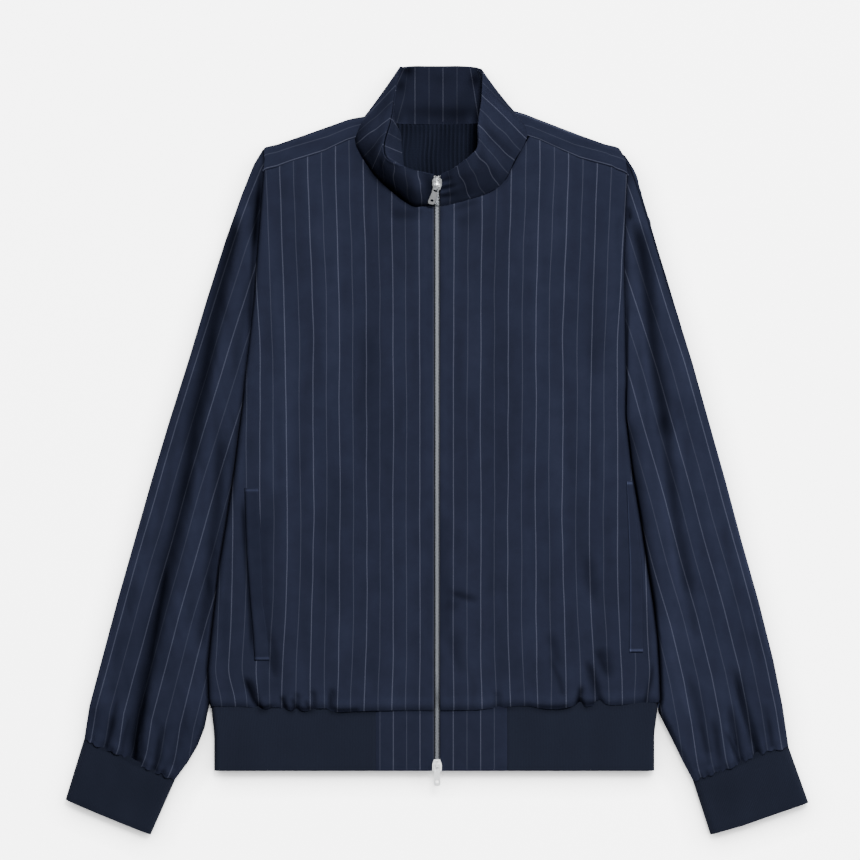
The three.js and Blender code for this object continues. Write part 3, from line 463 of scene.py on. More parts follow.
# Lower end of the body, puffed over the rib unevenly: out, y.
HEM_LINE = {
    "right": [
        (3, -259.6), (40, -259.6), (66, -260), (90, -261), (98, -261.6), (106, -260.2), (110, -257.6), (120, -257.8),
        (125, -259), (131, -260.7), (137, -259.4), (141, -257.4), (145, -260.2), (151, -258.2), (158, -256.6),
        (166, -256.8), (170, -258.8), (176, -259.2), (182, -257.3), (190, -256), (223, -255.6), (240, -255.6),
    ],
    "left": [
        (3, -259.6), (40, -259), (63, -256.6), (83, -255), (93, -255.4), (101, -257.2), (108, -258.2), (119, -258.6),
        (128, -257.2), (133, -256), (138, -253.8), (143, -254.2), (148, -256.2), (156, -254.6), (163, -252.4),
        (173, -254.4), (183, -254), (203, -252), (213, -251.6), (240, -251.6),
    ],
}


def gather_sum(rows, across, up):
    total = 0
    for x, deep, wide, long in rows:
        total = total - deep * bell(across - x, wide * (1 + up / long)) * np.exp(-up / long)
    return total


def hem_edge(side, out):
    """Lower end of the body, where it laps over the rib."""
    return sum(height_at(HEM_LINE[side], out + k) for k in (-1.2, 0, 1.2)) / 3


def front_top(side, out, y):
    up = np.maximum(y - hem_edge(side, out), 0)
    hem = (BODY_H - HEM_H - CLOTH - 0.2) * bell(up, 14) + 1.1 * bell(up, 1.6)
    hem = hem - 1.9 * bell(up - 6, 5)
    top = height_at(YOKE_SEAM[side], out)
    yoke = (BODY_H - SHOULDER_H) * bell(y - top, 30)
    z = BODY_H - hem - yoke + crease_sum(FOLDS[f"front_{side}"], out, y)
    z = z + gather_sum(HEM_GATHERS[side], out, np.maximum(y - HEM_SEAM_Y, 0))
    seed = 3.1 if side == "right" else 8.7
    z = z + 0.55 * ripple(out, y, (26, 95), seed) + 0.18 * ripple(out, y, (9, 30), seed + 5)
    edge = 0.7 * bell(out - FRONT_EDGE, 2.2) + 0.3 * bell(out - 9.5, 1.2)
    pucker = 0.22 * np.sin(y / 4.1 + 1.7 * np.sin(y / 37)) * bell(out - 6, 4)
    seam = 1.5 * smooth(-2.2, 0.2, y - np.where(out < NECK[side][-1][0], height_at(NECK[side], out), top))
    return z - edge + pucker - seam


def front_point(side, out, y):
    wide = side_out(side, y)
    turn = 1 - rounding(wide - out)
    top = front_top(side, np.minimum(out, wide - ROUND), y)
    floor = np.where(y < UNDERARM_Y, BODY_H / 2 + SEAM / 2, 0)
    return grid_of(side, out, y, np.maximum(top - turn * (top - BODY_H + side_fall(y)), floor))


# How far the fronts run on under the collar and the shoulder strips.
SEAM_LAP = 1.5


def front_end(side, out):
    neck = NECK[side]
    return np.where(out < neck[-1][0], height_at(neck, out), height_at(YOKE_SEAM[side], out)) + SEAM_LAP


def front_places(side, rows, cols):
    v, u = np.meshgrid(rows, cols, indexing="ij")
    y = front_end(side, lerp(FRONT_EDGE, side_out(side, 280), u))
    for _ in range(6):
        y = front_end(side, lerp(FRONT_EDGE, side_out(side, y), u))
    y = lerp(y, hem_edge(side, lerp(FRONT_EDGE, side_out(side, HEM_SEAM_Y), u)), v)
    return lerp(FRONT_EDGE, side_out(side, y), u), y


def fan(y):
    """How far the stripes spread from the zip at a height, against the middle of the jacket."""
    return 1 + 0.045 * smooth(80, 290, y) + 0.03 * smooth(-120, -255, y)


def hem_lean(side, out, y):
    """How far the cloth is drawn in along the rib, near the side seams."""
    drawn = 8.0 * smooth(150, 205, out) if side == "right" else 4.0 * smooth(170, 215, out)
    return drawn * smooth(-212, -256, y) ** 1.2


def back_end(side, out):
    neck = sorted((abs(r[0][0]), r[0][1]) for r in COLLAR if r[0][2] < 3 and sign(side) * r[0][0] >= 0)
    line = neck + [YOKE_SEAM[side][0]]
    first = YOKE_SEAM[side][0][0]
    return np.where(out < first, height_at(line, out) - 1, height_at(YOKE_SEAM[side], out)) - SEAM - 0.5


def back_places(rows, cols):
    v, w = np.meshgrid(rows, cols, indexing="ij")
    u = np.abs(w)
    parts = {}
    for side in ("right", "left"):
        y = back_end(side, side_out(side, 280) * u)
        for _ in range(6):
            y = back_end(side, side_out(side, y) * u)
        y = lerp(y, HEM_SEAM_Y + SEAM, v)
        out = side_out(side, y) * u
        turn = 1 - rounding(side_out(side, y) - out)
        up = (BODY_H / 2 - SEAM / 2) * smooth(UNDERARM_Y + 16, UNDERARM_Y + 2, y)
        parts[side] = stack(sign(side) * out, y, turn * up)
    return np.where((w < 0)[..., None], parts["right"], parts["left"])


# Sleeves and cuffs.
def armhole(side):
    k = OUT_COLUMN[side]
    rows = [(r[k] + SEAM, r[0]) for r in SIDE if r[0] > UNDERARM_Y]
    rows[0] = (SLEEVE_OUTER[side][0][0] + SEAM, SLEEVE_OUTER[side][0][1])
    return rows + [(float(side_out(side, UNDERARM_Y)) - SLEEVE_TUCK / 2, UNDERARM_Y)]


# The sleeve's inner edge reaches this far under the body's rounded side, at this height.
SLEEVE_TUCK = 0.35
TUCK_H = 3.2


def sleeve_lines(side):
    k = OUT_COLUMN[side]
    seam = [(out, y + SEAM) for out, y in CUFF_SEAM[side]]
    inner = [armhole(side)[-1]] + [(r[k] - SLEEVE_TUCK, r[0]) for r in SIDE if -250 < r[0] < UNDERARM_Y]
    inner += SLEEVE_INNER_END[side][:-1] + [seam[-1]]
    outer = [armhole(side)[0]] + SLEEVE_OUTER[side][1:-1] + [seam[0]]
    return outer, inner, armhole(side), seam


def cuff_lines(side):
    seam, end = CUFF_SEAM[side], CUFF_END[side]
    return [seam[0], end[0]], [seam[-1], end[-1]], seam, end


def patch(lines, s, t):
    outer, inner, first, last = lines
    s1, t1 = s[..., None], t[..., None]
    corner = (1 - s1) * (1 - t1) * np.array(outer[0]) + s1 * (1 - t1) * np.array(inner[0])
    corner = corner + (1 - s1) * t1 * np.array(outer[-1]) + s1 * t1 * np.array(inner[-1])
    sides = (1 - s1) * along(outer, t) + s1 * along(inner, t)
    return sides + (1 - t1) * along(first, s) + t1 * along(last, s) - corner


def tube_places(lines, rows, n):
    over = lerp(crowded(n), even(n), 0.5)
    s = np.concatenate([over, over[1:-1][::-1]])
    up = np.concatenate([np.ones(n + 1, bool), np.zeros(n - 1, bool)])
    t, s = np.meshgrid(rows, s, indexing="ij")
    up = np.broadcast_to(up, s.shape)
    spot = patch(lines, s, t)
    ends = patch(lines, 0 * s, t) - patch(lines, 0 * s + 1, t)
    width = np.linalg.norm(ends, axis=-1)
    return s, t, up, spot[..., 0], spot[..., 1], rounding(np.minimum(s, 1 - s) * width)


def sleeve_height(t):
    dip = ARMHOLE_DIP * bell(t, 0.02)
    end = (SLEEVE_H - CUFF_H - CLOTH - 0.6) * bell(1 - t, 0.03)
    return SLEEVE_H - dip - end + 1.4 * bell(t - 0.988, 0.009)


def sleeve_lap(side, out, y, s, t, top):
    """Moves the upper layer's end over the cuff, less at each gather."""
    drawn = np.clip(-gather_sum(CUFF_GATHERS[side], s, 0 * s) / 1.3, 0, 1)
    lap = (2.0 - 2.4 * drawn) * smooth(0.94, 1, t) * top
    return out + 0.33 * lap, y - 0.94 * lap


CUFF_GATHERS = {"right": gathers(21, 0.04, 0.97, 0.085, 1.5, 0.06), "left": gathers(27, 0.03, 0.97, 0.09, 1.5, 0.065)}


def sleeve_lift(side, out, y, s, t):
    z = crease_sum(FOLDS[f"sleeve_{side}"], out, y)
    z = z + gather_sum(CUFF_GATHERS[side], s, np.maximum(1 - t, 0))
    seed = 2.3 if side == "right" else 6.1
    along_sleeve = out * 0.28 + y
    across = out - 0.28 * y
    keep = smooth(0, 0.03, t) * smooth(0, 0.01, 1 - t)
    broad, fine_waves = ripple(across, along_sleeve, (15, 80), seed), ripple(across, along_sleeve, (7, 26), seed + 4)
    return z + keep * (0.75 * broad + 0.25 * fine_waves)


def body_edge(side):
    return [(r[OUT_COLUMN[side]], r[0]) for r in SIDE]


def edge_length(d, r=ROUND):
    """Length of cloth from a rounded edge to a point that lies d in from it, seen from above."""
    near = np.minimum(d, r)
    return r * np.arccos(1 - near / r) + np.maximum(d - r, 0)


# Shoulder strips.
def yoke_places(side, rows, n):
    across = crowded_end(n, 1)
    w = np.concatenate([across, across[:-1][::-1]])
    up = np.concatenate([np.ones(n + 1, bool), np.zeros(n, bool)])
    v, w = np.meshgrid(rows, w, indexing="ij")
    up = np.broadcast_to(up, w.shape)
    a, b = along(YOKE_SEAM[side], v), along(SHOULDER[side], v)
    wide = np.linalg.norm(a - b, axis=-1)
    full = rounding((1 - w) * wide, 6)
    spot = lerp(a, b, w[..., None])
    bump = 0.35 * ripple(spot[..., 0], spot[..., 1], (30, 12), 4.4) - 0.4 * bell(w * wide, 2.0)
    z = np.where(up, SHOULDER_H / 2 + (SHOULDER_H / 2 + bump) * full, SHOULDER_H / 2 * (1 - full))
    out = spot[..., 0] - 3.2 * smooth(0.12, 0, v)
    out = out + (side_out(side, spot[..., 1]) - spot[..., 0]) * smooth(0.86, 1, v)
    grid = grid_of(side, out, spot[..., 1], z)
    edge, total = edge_length((1 - w) * wide, 6), edge_length(wide, 6)
    # Painted shade along its seam and where the strip turns down at its edges, with soft uneven waves.
    light = (1 - 0.1 * bell(w * wide, 1.2)) * lerp(0.42, 1, full)
    light = light * (1 + 0.06 * ripple(out, spot[..., 1], (24, 10), 3.9))
    return grid, stack(np.where(up, total - edge, total + edge) - 1.5, v * 105), light


# Hem. The rib and its end panels run on this far under the body.
UNDER_LAP = 2.0


def lap_end(side, out):
    return hem_edge(side, out) + 3.2


def hem_places(rows, n):
    def half(side, v):
        edge = lerp(HEM_SIDE[side][0], HEM_SIDE[side][1], smooth(0, 0.5, v))
        y = lerp(HEM_SEAM_Y + UNDER_LAP, HEM_END_Y, v)
        puff = 0.5 * bell(v - 0.5, 0.4) - 0.6 * bell(1 - v, 0.03)
        u = crowded_end(n)
        out = lerp(HEM_PANEL[side] - 0.8, edge, u)
        puff = puff - 1.3 * bell(out - HEM_PANEL[side] + 0.8, 1.1)
        puff = puff - 2.2 * smooth(2.2, -2.2, hem_edge(side, out) - y)
        wave = 0.35 * ripple(out, y + 0 * out, (40, 60), 5.5)
        wave = wave + 0.25 * gather_sum(HEM_GATHERS[side], out, v * 60 + 0 * out)
        top = grid_of(side, out, y, HEM_H / 2 + (HEM_H / 2 + puff + wave) * rounding(edge - out, 5.5))
        top[..., 1] += (lap_end(side, out) - y) * (v == 0)
        low = edge * crowded_end(n, 0.8)[:-1][::-1]
        y = lerp(HEM_SEAM_Y - SEAM, HEM_END_Y, v)
        return np.concatenate([top, grid_of(side, low, y, HEM_H / 2 * (1 - rounding(edge - low, 5.5)))])

    return np.array([np.concatenate([half("right", v), half("left", v)[:-1][::-1]]) for v in rows])


def hem_panel_places(side, rows, n):
    v, u = np.meshgrid(rows, even(n), indexing="ij")
    out = lerp(FRONT_EDGE, HEM_PANEL[side], u)
    y = lerp(np.where(v > 0, HEM_SEAM_Y + UNDER_LAP, lap_end(side, out)), HEM_END_Y, v)
    puff = 0.5 * bell(v - 0.5, 0.4) - 0.7 * bell(1 - v, 0.04)
    puff = puff - 2.2 * smooth(2.2, -2.2, hem_edge(side, out) - y)
    ends = 0.7 * bell(out - HEM_PANEL[side], 1.8) + 0.6 * bell(out - FRONT_EDGE, 2)
    return grid_of(side, out, y, HEM_H + puff - ends + 0.3 * ripple(out, y, (18, 25), 9.2))


# Collar.
def collar_line(k, u):
    """Column k of the collar's rows, smooth, at places u from 0 to 1."""
    rows = np.array([r[k] for r in COLLAR], float)
    last = len(rows) - 1
    x = np.clip(u, 0, 1) * last
    i = np.minimum(np.floor(x).astype(int), last - 1)
    t = (x - i)[..., None]
    a, b, c, d = (rows[np.clip(i + k, 0, last)] for k in (-1, 0, 1, 2))
    return 0.5 * (2 * b + (c - a) * t + (2 * a - 5 * b + 4 * c - d) * t**2 + (3 * b - a - 3 * c + d) * t**3)


# Painted shade where less light reaches the standing collar, a painted highlight where the darkness is below 0: place
# round it, how far up, how dark, width each way.
COLLAR_SHADE_BANDS = [
    (0.02, 0.3, 0.2, 0.02, 0.6), (0.07, 0.3, 0.3, 0.035, 0.75), (0.13, 0.3, 0.36, 0.035, 0.7),
    (0.185, 0.15, 0.3, 0.028, 0.45), (0.16, 0.0, 0.5, 0.05, 0.12), (0.11, 0.0, 0.6, 0.04, 0.15),
    (0.05, 0.0, 0.5, 0.03, 0.1), (0.115, 0.05, 0.6, 0.018, 0.2), (0.15, 0.55, 0.35, 0.01, 0.3),
    (0.19, 0.6, 0.35, 0.01, 0.35), (0.06, 0.6, -0.3, 0.02, 0.25), (0.24, 0.1, 0.35, 0.03, 0.3),
    (0.26, 0.8, 0.3, 0.04, 0.3),
    (0.33, 0.5, 0.4, 0.05, 0.8), (0.67, 0.5, 0.35, 0.04, 0.8),
    (0.96, 0.35, 0.25, 0.03, 0.25), (0.955, 0.75, 0.2, 0.03, 0.15), (0.85, 0.5, 0.14, 0.1, 0.9),
    (0.84, 0.4, 0.25, 0.012, 0.4), (0.78, 0.5, 0.2, 0.012, 0.4), (0.9, 0.45, 0.25, 0.012, 0.4),
]
# Its creases: place round it, how far up, rise, width each way.
COLLAR_CREASES = [
    (0.965, 0.25, -1.6, 0.03, 0.09), (0.96, 0.5, -1.8, 0.035, 0.08), (0.968, 0.75, -1.5, 0.03, 0.08),
    (0.985, 0.38, 1.0, 0.02, 0.07), (0.975, 0.62, 1.1, 0.03, 0.07),
    (0.9, 0.45, -1.5, 0.02, 0.5), (0.84, 0.5, 1.4, 0.02, 0.5), (0.79, 0.55, -1.5, 0.015, 0.5),
    (0.73, 0.5, 1.2, 0.02, 0.4), (0.7, 0.6, -1.2, 0.012, 0.4),
    (0.12, 0.5, -1.6, 0.02, 0.5), (0.17, 0.45, 1.2, 0.02, 0.5), (0.07, 0.5, 1.4, 0.02, 0.4),
    (0.03, 0.55, -1.2, 0.016, 0.3), (0.24, 0.5, -1.2, 0.015, 0.5),
]


def dent(u, v, at, up, w, h):
    """1 at a place on the collar, falling smoothly to 0 round it."""
    return np.exp(-(((u - at) / w) ** 2) - ((v - up) / h) ** 2)


def collar_places(rows, places):
    v, u = np.meshgrid(rows, places, indexing="ij")
    low, high = collar_line(0, u), collar_line(1, u)
    grid = lerp(low, high, v[..., None])
    stands = smooth(6, 20, high[..., 2]) * smooth(4, 24, np.abs(high[..., 0]))
    bow = COLLAR_BULGE * stands * np.sin(np.pi * v)
    for at, up, rise, w, h in COLLAR_CREASES:
        bow = bow + rise * dent(u, v, at, up, w, h) * smooth(0, 0.12, v) * smooth(0, 0.08, 1 - v)
    seam = 0.5 * bell(v, 0.045) * smooth(6, 12, low[..., 2])
    grid[..., 2] = np.maximum(grid[..., 2] + bow - seam, 0)
    return grid, u, v


def facing_places(rows, places):
    grid, _, _ = collar_places(even(12), places)
    edge = inside(grid, CLOTH + 2 * SEAM, -1, mark=(3, len(places) // 2))[-1]
    v, u = np.meshgrid(rows, places, indexing="ij")
    out = lerp(collar_line(2, u), edge[None, :, :], v[..., None])
    sag = 1.0 * np.sin(np.pi * v) * (0.4 + ripple(u * 400, v * 60, (38, 30), 3.3))
    back = smooth(12, 5, collar_line(1, u)[..., 2])
    out[..., 2] = np.maximum(out[..., 2] + sag * (1 - back) + 0.8 * back * sag, 2) + 0.7 * back * (1 - v)
    return out, u, v


def ring_length(places, k=0.5):
    mid = lerp(collar_line(0, places), collar_line(1, places), k)
    step = np.linalg.norm(np.diff(mid, axis=0), axis=1)
    return np.concatenate([[0], np.cumsum(step)])


# Zip.
def zip_z(y):
    """Height of the cloth beside the zip."""
    y = np.asarray(y, float)
    neck, top, _ = COLLAR[0]
    rise = lerp(neck[2], top[2], (y - neck[1]) / (top[1] - neck[1]))
    front = BODY_H - (BODY_H - HEM_H) * bell(y - HEM_SEAM_Y, 13)
    return np.where(y > neck[1], rise, np.where(y > HEM_SEAM_Y, front, HEM_H))


# Materials.
def linear(hex_colour):
    parts = [int(hex_colour[i : i + 2], 16) / 255 for i in (1, 3, 5)]
    return [c / 12.92 if c <= 0.04045 else ((c + 0.055) / 1.055) ** 2.4 for c in parts] + [1]


def node(tree, kind, inputs=None, **settings):
    """Adds a node with its settings; an input is a value or another node's output."""
    made = tree.nodes.new(kind)
    for key, value in settings.items():
        setattr(made, key, value)
    for key, value in (inputs or {}).items():
        if isinstance(value, bpy.types.NodeSocket):
            tree.links.new(value, made.inputs[key])
        else:
            made.inputs[key].default_value = value
    return made


def maths(tree, operation, a, b=0.0, c=0.0):
    return node(tree, "ShaderNodeMath", {0: a, 1: b, 2: c}, operation=operation).outputs[0]


def times(tree, a, b):
    return maths(tree, "MULTIPLY", a, b)


def waves_of(tree, place, pitch):
    return maths(tree, "SINE", times(tree, place, 2 * math.pi / pitch))


def remap(tree, value, low, high, to_low, to_high, **settings):
    made = {"Value": value, "From Min": low, "From Max": high, "To Min": to_low, "To Max": to_high}
    return node(tree, "ShaderNodeMapRange", made, **settings).outputs[0]


def grain(tree, place, scale, detail, rough=0.5):
    inputs = {"Vector": place, "Scale": scale, "Detail": detail, "Roughness": rough}
    return node(tree, "ShaderNodeTexNoise", inputs).outputs[0]


def bumped(tree, strength, deep, height):
    return node(tree, "ShaderNodeBump", {"Strength": strength, "Distance": deep, "Height": height}).outputs[0]


def mix(tree, factor, a, b):
    made = node(tree, "ShaderNodeMix", {0: factor, 6: a, 7: b}, data_type="RGBA")
    return made.outputs[2]


def material(name):
    made = bpy.data.materials.new(name)
    made.use_nodes = True
    made.node_tree.nodes.clear()
    return made, made.node_tree


def surface(tree, inputs):
    shader = node(tree, "ShaderNodeBsdfPrincipled", inputs)
    node(tree, "ShaderNodeOutputMaterial", {"Surface": shader.outputs[0]})


def cloth_coordinates(tree):
    """Across and along the cloth, in mm."""
    uv = node(tree, "ShaderNodeUVMap", uv_map="cloth")
    parts = node(tree, "ShaderNodeSeparateXYZ", {0: uv.outputs[0]})
    return uv.outputs[0], parts.outputs[0], parts.outputs[1]


def shaded(tree, colour, more=1.0):
    """The colour with painted shade multiplied in: darker where less light reaches the folds."""
    share = node(tree, "ShaderNodeAttribute", attribute_name="fold_shade").outputs["Fac"]
    return node(tree, "ShaderNodeHueSaturation", {"Value": times(tree, share, more), "Color": colour}).outputs[0]


def line_mask(tree, across, pitch, offset, wide, soft):
    """1 on thin lines every pitch mm, 0 between."""
    place = maths(tree, "DIVIDE", maths(tree, "SUBTRACT", across, offset), pitch)
    near = maths(tree, "ABSOLUTE", maths(tree, "SUBTRACT", maths(tree, "FRACT", maths(tree, "ADD", place, 0.5)), 0.5))
    low, high = wide / 2 - soft, wide / 2 + soft
    return remap(tree, times(tree, near, pitch), low, high, 1.0, 0.0, interpolation_type="SMOOTHSTEP")


NAVY = "#1e212f"
STRIPE_BRIGHT = "#3d404e"
STRIPE_DIM = "#303340"
RIB_NAVY = "#1a1d28"
LINING_NAVY = "#131621"
TAPE_NAVY = "#10141f"
TWILL_PITCH = 1.1


def pinstripe(name, pitch, first, striped=1.0):
    """Smooth woven suiting, pressed: fine twill, a soft sheen, a bright stripe by turns with a dim one."""
    made, tree = material(name)
    uv, across, length = cloth_coordinates(tree)
    bright = line_mask(tree, across, 2 * pitch, first, 0.95, 0.3)
    dim = line_mask(tree, across, 2 * pitch, first + pitch, 0.85, 0.3)
    flecks = grain(tree, uv, 0.9, 3.0, 0.7)
    broken = remap(tree, flecks, 0.3, 0.6, 0.55, 1.0)
    shade = remap(tree, grain(tree, uv, 0.035, 4.0, 0.6), 0.3, 0.7, 0.9, 1.1)
    twill = waves_of(tree, maths(tree, "ADD", across, length), TWILL_PITCH)
    colour = node(tree, "ShaderNodeHueSaturation", {"Value": shade, "Color": linear(NAVY)}).outputs[0]
    for mask, tone in ((dim, STRIPE_DIM), (bright, STRIPE_BRIGHT)):
        colour = mix(tree, times(tree, times(tree, mask, broken), striped), colour, linear(tone))
    # Painted shade and light from the fold_shade attribute.
    colour = shaded(tree, colour)
    rise = maths(tree, "ADD", times(tree, twill, 0.35), times(tree, flecks, 0.8))
    bump = bumped(tree, 0.22, 0.0002, rise)
    surface(tree, {
        "Base Color": colour, "Roughness": 0.5, "IOR": 1.45, "Normal": bump, "Sheen Weight": 0.008,
        "Sheen Roughness": 0.45, "Sheen Tint": linear("#9a9a9a"), "Specular IOR Level": 0.0,
    })
    return made


def ribbed(name, hex_colour, pitch, deep):
    """Knitted cotton rib, matt: fine raised wales along the cloth, with painted shade in the grooves between them."""
    made, tree = material(name)
    uv, across, length = cloth_coordinates(tree)
    wale, stitch = waves_of(tree, across, pitch), waves_of(tree, length, 0.6 * pitch)
    fuzz = grain(tree, uv, 1.5, 4.0)
    rise = maths(tree, "ADD", wale, maths(tree, "ADD", times(tree, stitch, 0.2), times(tree, fuzz, 0.5)))
    # Painted shade in the grooves between the wales, then the fold_shade painted shade.
    colour = shaded(tree, linear(hex_colour), remap(tree, wale, -1.0, 0.2, 0.95, 1.0))
    surface(tree, {
        "Base Color": colour, "Roughness": 0.85, "IOR": 1.45, "Normal": bumped(tree, 0.25, deep, rise),
        "Sheen Weight": 0.012, "Sheen Roughness": 0.6, "Specular IOR Level": 0.0,
    })
    return made


def metal(name, hex_colour, rough):
    """Nickel-plated brass, tumbled: bright silver with soft scratches."""
    made, tree = material(name)
    place = node(tree, "ShaderNodeTexCoord").outputs["Object"]
    roughness = remap(tree, grain(tree, place, 900.0, 3.0), 0.0, 1.0, rough - 0.06, rough + 0.1)
    surface(tree, {"Base Color": linear(hex_colour), "Metallic": 1.0, "Roughness": roughness})
    return made


def plain(name, hex_colour, rough):
    """Woven polyester tape, or the paper the jacket lies on."""
    made, tree = material(name)
    surface(tree, {"Base Color": linear(hex_colour), "Roughness": rough, "IOR": 1.45})
    return made


suiting = {}
for side in ("right", "left"):
    suiting[side] = pinstripe(f"pinstripe_suiting_{side}", STRIPE_PITCH[side], FIRST_STRIPE[side])
suiting_plain = pinstripe("pinstripe_suiting_plain", 13.5, 6.0, 0.0)
collar_suiting = pinstripe("pinstripe_suiting_collar", 14.0, 0.0)
sleeve_suiting = pinstripe("pinstripe_suiting_sleeve", 14.0, 12.0, 0.8)
yoke_suiting = pinstripe("pinstripe_suiting_yoke", 13.5, 0.0)
cotton_rib = ribbed("cotton_rib_knit", RIB_NAVY, 1.6, 0.0003)
crinkled_lining = ribbed("pleated_viscose_lining", LINING_NAVY, 4.2, 0.0009)
zip_tape_cloth = plain("polyester_zip_tape", TAPE_NAVY, 0.9)
nickel = metal("nickel_plated_brass", "#eceef0", 0.5)
# The teeth's copy of the nickel is painted darker than the sliders' and pulls', a painted shade.
shaded_nickel_teeth = metal("nickel_plated_teeth_shaded", "#777a7f", 0.42)


# Pieces.
def finish_piece(obj, look, cad, area=None):
    obj.data.materials.append(look)
    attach(obj, "root")
    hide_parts(cad)


# Flat sizes that differ between the sides, in metres, and the sleeves' area and share of light, a painted light that
# makes the left sleeve lighter.
SLEEVE_AREA = {"right": 0.097, "left": 0.106}
SLEEVE_LIGHT = {"right": 1.0, "left": 1.1}


def fine(n):
    return n


for side in ("right", "left"):
    out, y = front_places(side, even(fine(210)), crowded_end(fine(130), 0.35))
    front = front_point(side, out, y)
    under = inside(front, CLOTH, 1)
    under[..., 2] = np.maximum(under[..., 2], BODY_H / 2 + SEAM / 2)
    drift = 0.9 * ripple(out, y, (45, 130), 21.0) + 0.35 * ripple(out, y, (18, 45), 23.0)
    coords = stack(out / fan(y) + drift * smooth(6, 30, out) + hem_lean(side, out, y), y)
    # Painted shade and light from the folds and shade bands, and painted shade where the front turns down at its
    # side.
    light = fold_shade(f"front_{side}", out, y) * (1 - 0.55 * bell(side_out(side, y) - out, 1.6))
    obj = wall(f"front_{side}_cloth", front, under, coords, light=light)
    finish_piece(obj, suiting[side], f"front_{side}", 0.109)

    s, t, up, out, y, full = tube_places(sleeve_lines(side), even(fine(230)), fine(64))
    h = sleeve_height(t)
    widest = lerp(h / 2, TUCK_H, smooth(0.3, 0.7, s))
    top = lerp(widest, h + sleeve_lift(side, out, y, s, t), full)
    out, y = sleeve_lap(side, out, y, s, t, full * up)
    near = bell(t, 0.006) * full
    out = out - np.where(up, 0, 1.8 * near)
    sleeve = grid_of(side, out, y, np.where(up, top, widest * (1 - full) + (CLOTH + SEAM) * near))
    edge = edge_length(reach(out, y, SLEEVE_OUTER[side])[0])
    coords = stack(np.where(up, edge, -edge) + 0.8 * ripple(out, y, (40, 110), 25.0), y)
    # Painted shade and light: the folds and shade bands, darker by the body's side, in the cuff gathers and where the
    # sleeve turns down at its edges.
    light = fold_shade(f"sleeve_{side}", out, y)
    light = light * (1 - 0.5 * bell(reach(out, y, body_edge(side))[0], 2.8))
    light = light * (1 + 0.16 * gather_sum(CUFF_GATHERS[side], s, np.maximum(1 - t, 0))) * lerp(0.5, 1, full)
    under = np.maximum(inside(sleeve, CLOTH, 1, True, (fine(230) // 2, fine(64) // 2)), [-1e9, -1e9, SEAM])
    light = SLEEVE_LIGHT[side] * np.clip(light, 0.12, 1.5)
    obj = wall(f"sleeve_{side}_cloth", sleeve, under, coords, True, light)
    finish_piece(obj, sleeve_suiting, f"sleeve_{side}", SLEEVE_AREA[side])

    s, t, up, out, y, full = tube_places(cuff_lines(side), np.concatenate([[-0.001], even(fine(36))]), fine(56))
    tuck = (t < 0) * np.where(up, np.maximum(full, 0.12), 0.12)
    out, y = out - 0.9 * tuck, y + 2.6 * tuck
    waves = 0.35 * ripple(out, y, (22, 40), 7.7) - 0.2 * bell(t, 0.06) - 0.6 * bell(1 - t, 0.05)
    waves = waves - 1.6 * tuck
    z = np.where(up, CUFF_H / 2 + (CUFF_H / 2 + waves) * full, CUFF_H / 2 * (1 - full))
    cuff = grid_of(side, out, y, z)
    coords = stack(np.where(up, s, 2 - s) * CUFF_W, t * 62)
    # Painted shade where the cuff turns down at its edges and under the sleeve's lapped end, with soft uneven waves.
    light = 0.94 * lerp(0.6, 1, full) * (1 - 0.28 * bell(t, 0.04) * up) * (1 + 0.06 * ripple(out, y, (20, 40), 33.0))
    under = np.maximum(inside(cuff, RIB, 1, True, (2, fine(56) // 2)), [-1e9, -1e9, SEAM])
    obj = wall(f"cuff_{side}_knit", cuff, under, coords, True, light)
    finish_piece(obj, cotton_rib, f"cuff_{side}", None)

    yoke, coords, light = yoke_places(side, even(fine(90)), fine(22))
    under = inside(yoke, CLOTH, 1, mark=(fine(90) // 2, 2))
    obj = wall(f"yoke_{side}_cloth", yoke, under, coords, light=light)
    finish_piece(obj, yoke_suiting, f"yoke_{side}", None)

    panel = hem_panel_places(side, even(fine(40)), fine(40))
    coords = stack(np.abs(panel[..., 0]), panel[..., 1])
    # Painted shadow below the body's lapped edge.
    light = 0.95 - 0.3 * bell(np.maximum(hem_edge(side, coords[..., 0]) - panel[..., 1], 0), 3.0)
    obj = wall(f"hem_panel_{side}_cloth", panel, inside(panel, RIB, 1), coords, light=light)
    finish_piece(obj, suiting[side], f"hem_panel_{side}")

    rows = POCKET[side]
    v, u = np.meshgrid(even(fine(160)), even(fine(24)), indexing="ij")
    y = lerp(rows[0][0], rows[-1][0], v)
    out = lerp(column(rows, 1, y), column(rows, 2, y), u)
    base = front_point(side, out, y)
    rim = np.minimum(np.minimum(u, 1 - u) * 14, np.minimum(v, 1 - v) * 172)
    lift = 0.25 + WELT * rounding(rim, 1.6)
    welt = base + normals(base) * (lift * (1 if normals(base)[0, 0, 2] > 0 else -1))[..., None]
    low = base.copy()
    low[..., 2] += 0.05
    bars = bell(v - 0.012, 0.006) + bell(v - 0.985, 0.006)
    # Painted shade along the right welt's edge away from the zip; lighter lines for the stitching at the welts' ends
    # and along the left welt's edge by the zip.
    if side == "right":
        light = 0.88 * (1 - 0.5 * bell(1 - u, 0.14)) * (1 + 0.9 * bars)
    else:
        light = 0.95 * (1 + 1.3 * bell(u - 0.06, 0.05)) * (1 + 1.5 * bars)
    obj = wall(f"pocket_welt_{side}_cloth", welt, low, stack(out, y), light=light)
    finish_piece(obj, suiting_plain, f"pocket_welt_{side}", None)

back = back_places(even(fine(70)), np.concatenate([-crowded_end(fine(44))[:0:-1], crowded_end(fine(44))]))
under = np.minimum(inside(back, CLOTH, -1, mark=(fine(70) // 2, fine(44))), [1e9, 1e9, BODY_H / 2 - SEAM / 2])
obj = wall("back_cloth", back, under, back[..., :2])
finish_piece(obj, suiting["left"], "back", 0.239)

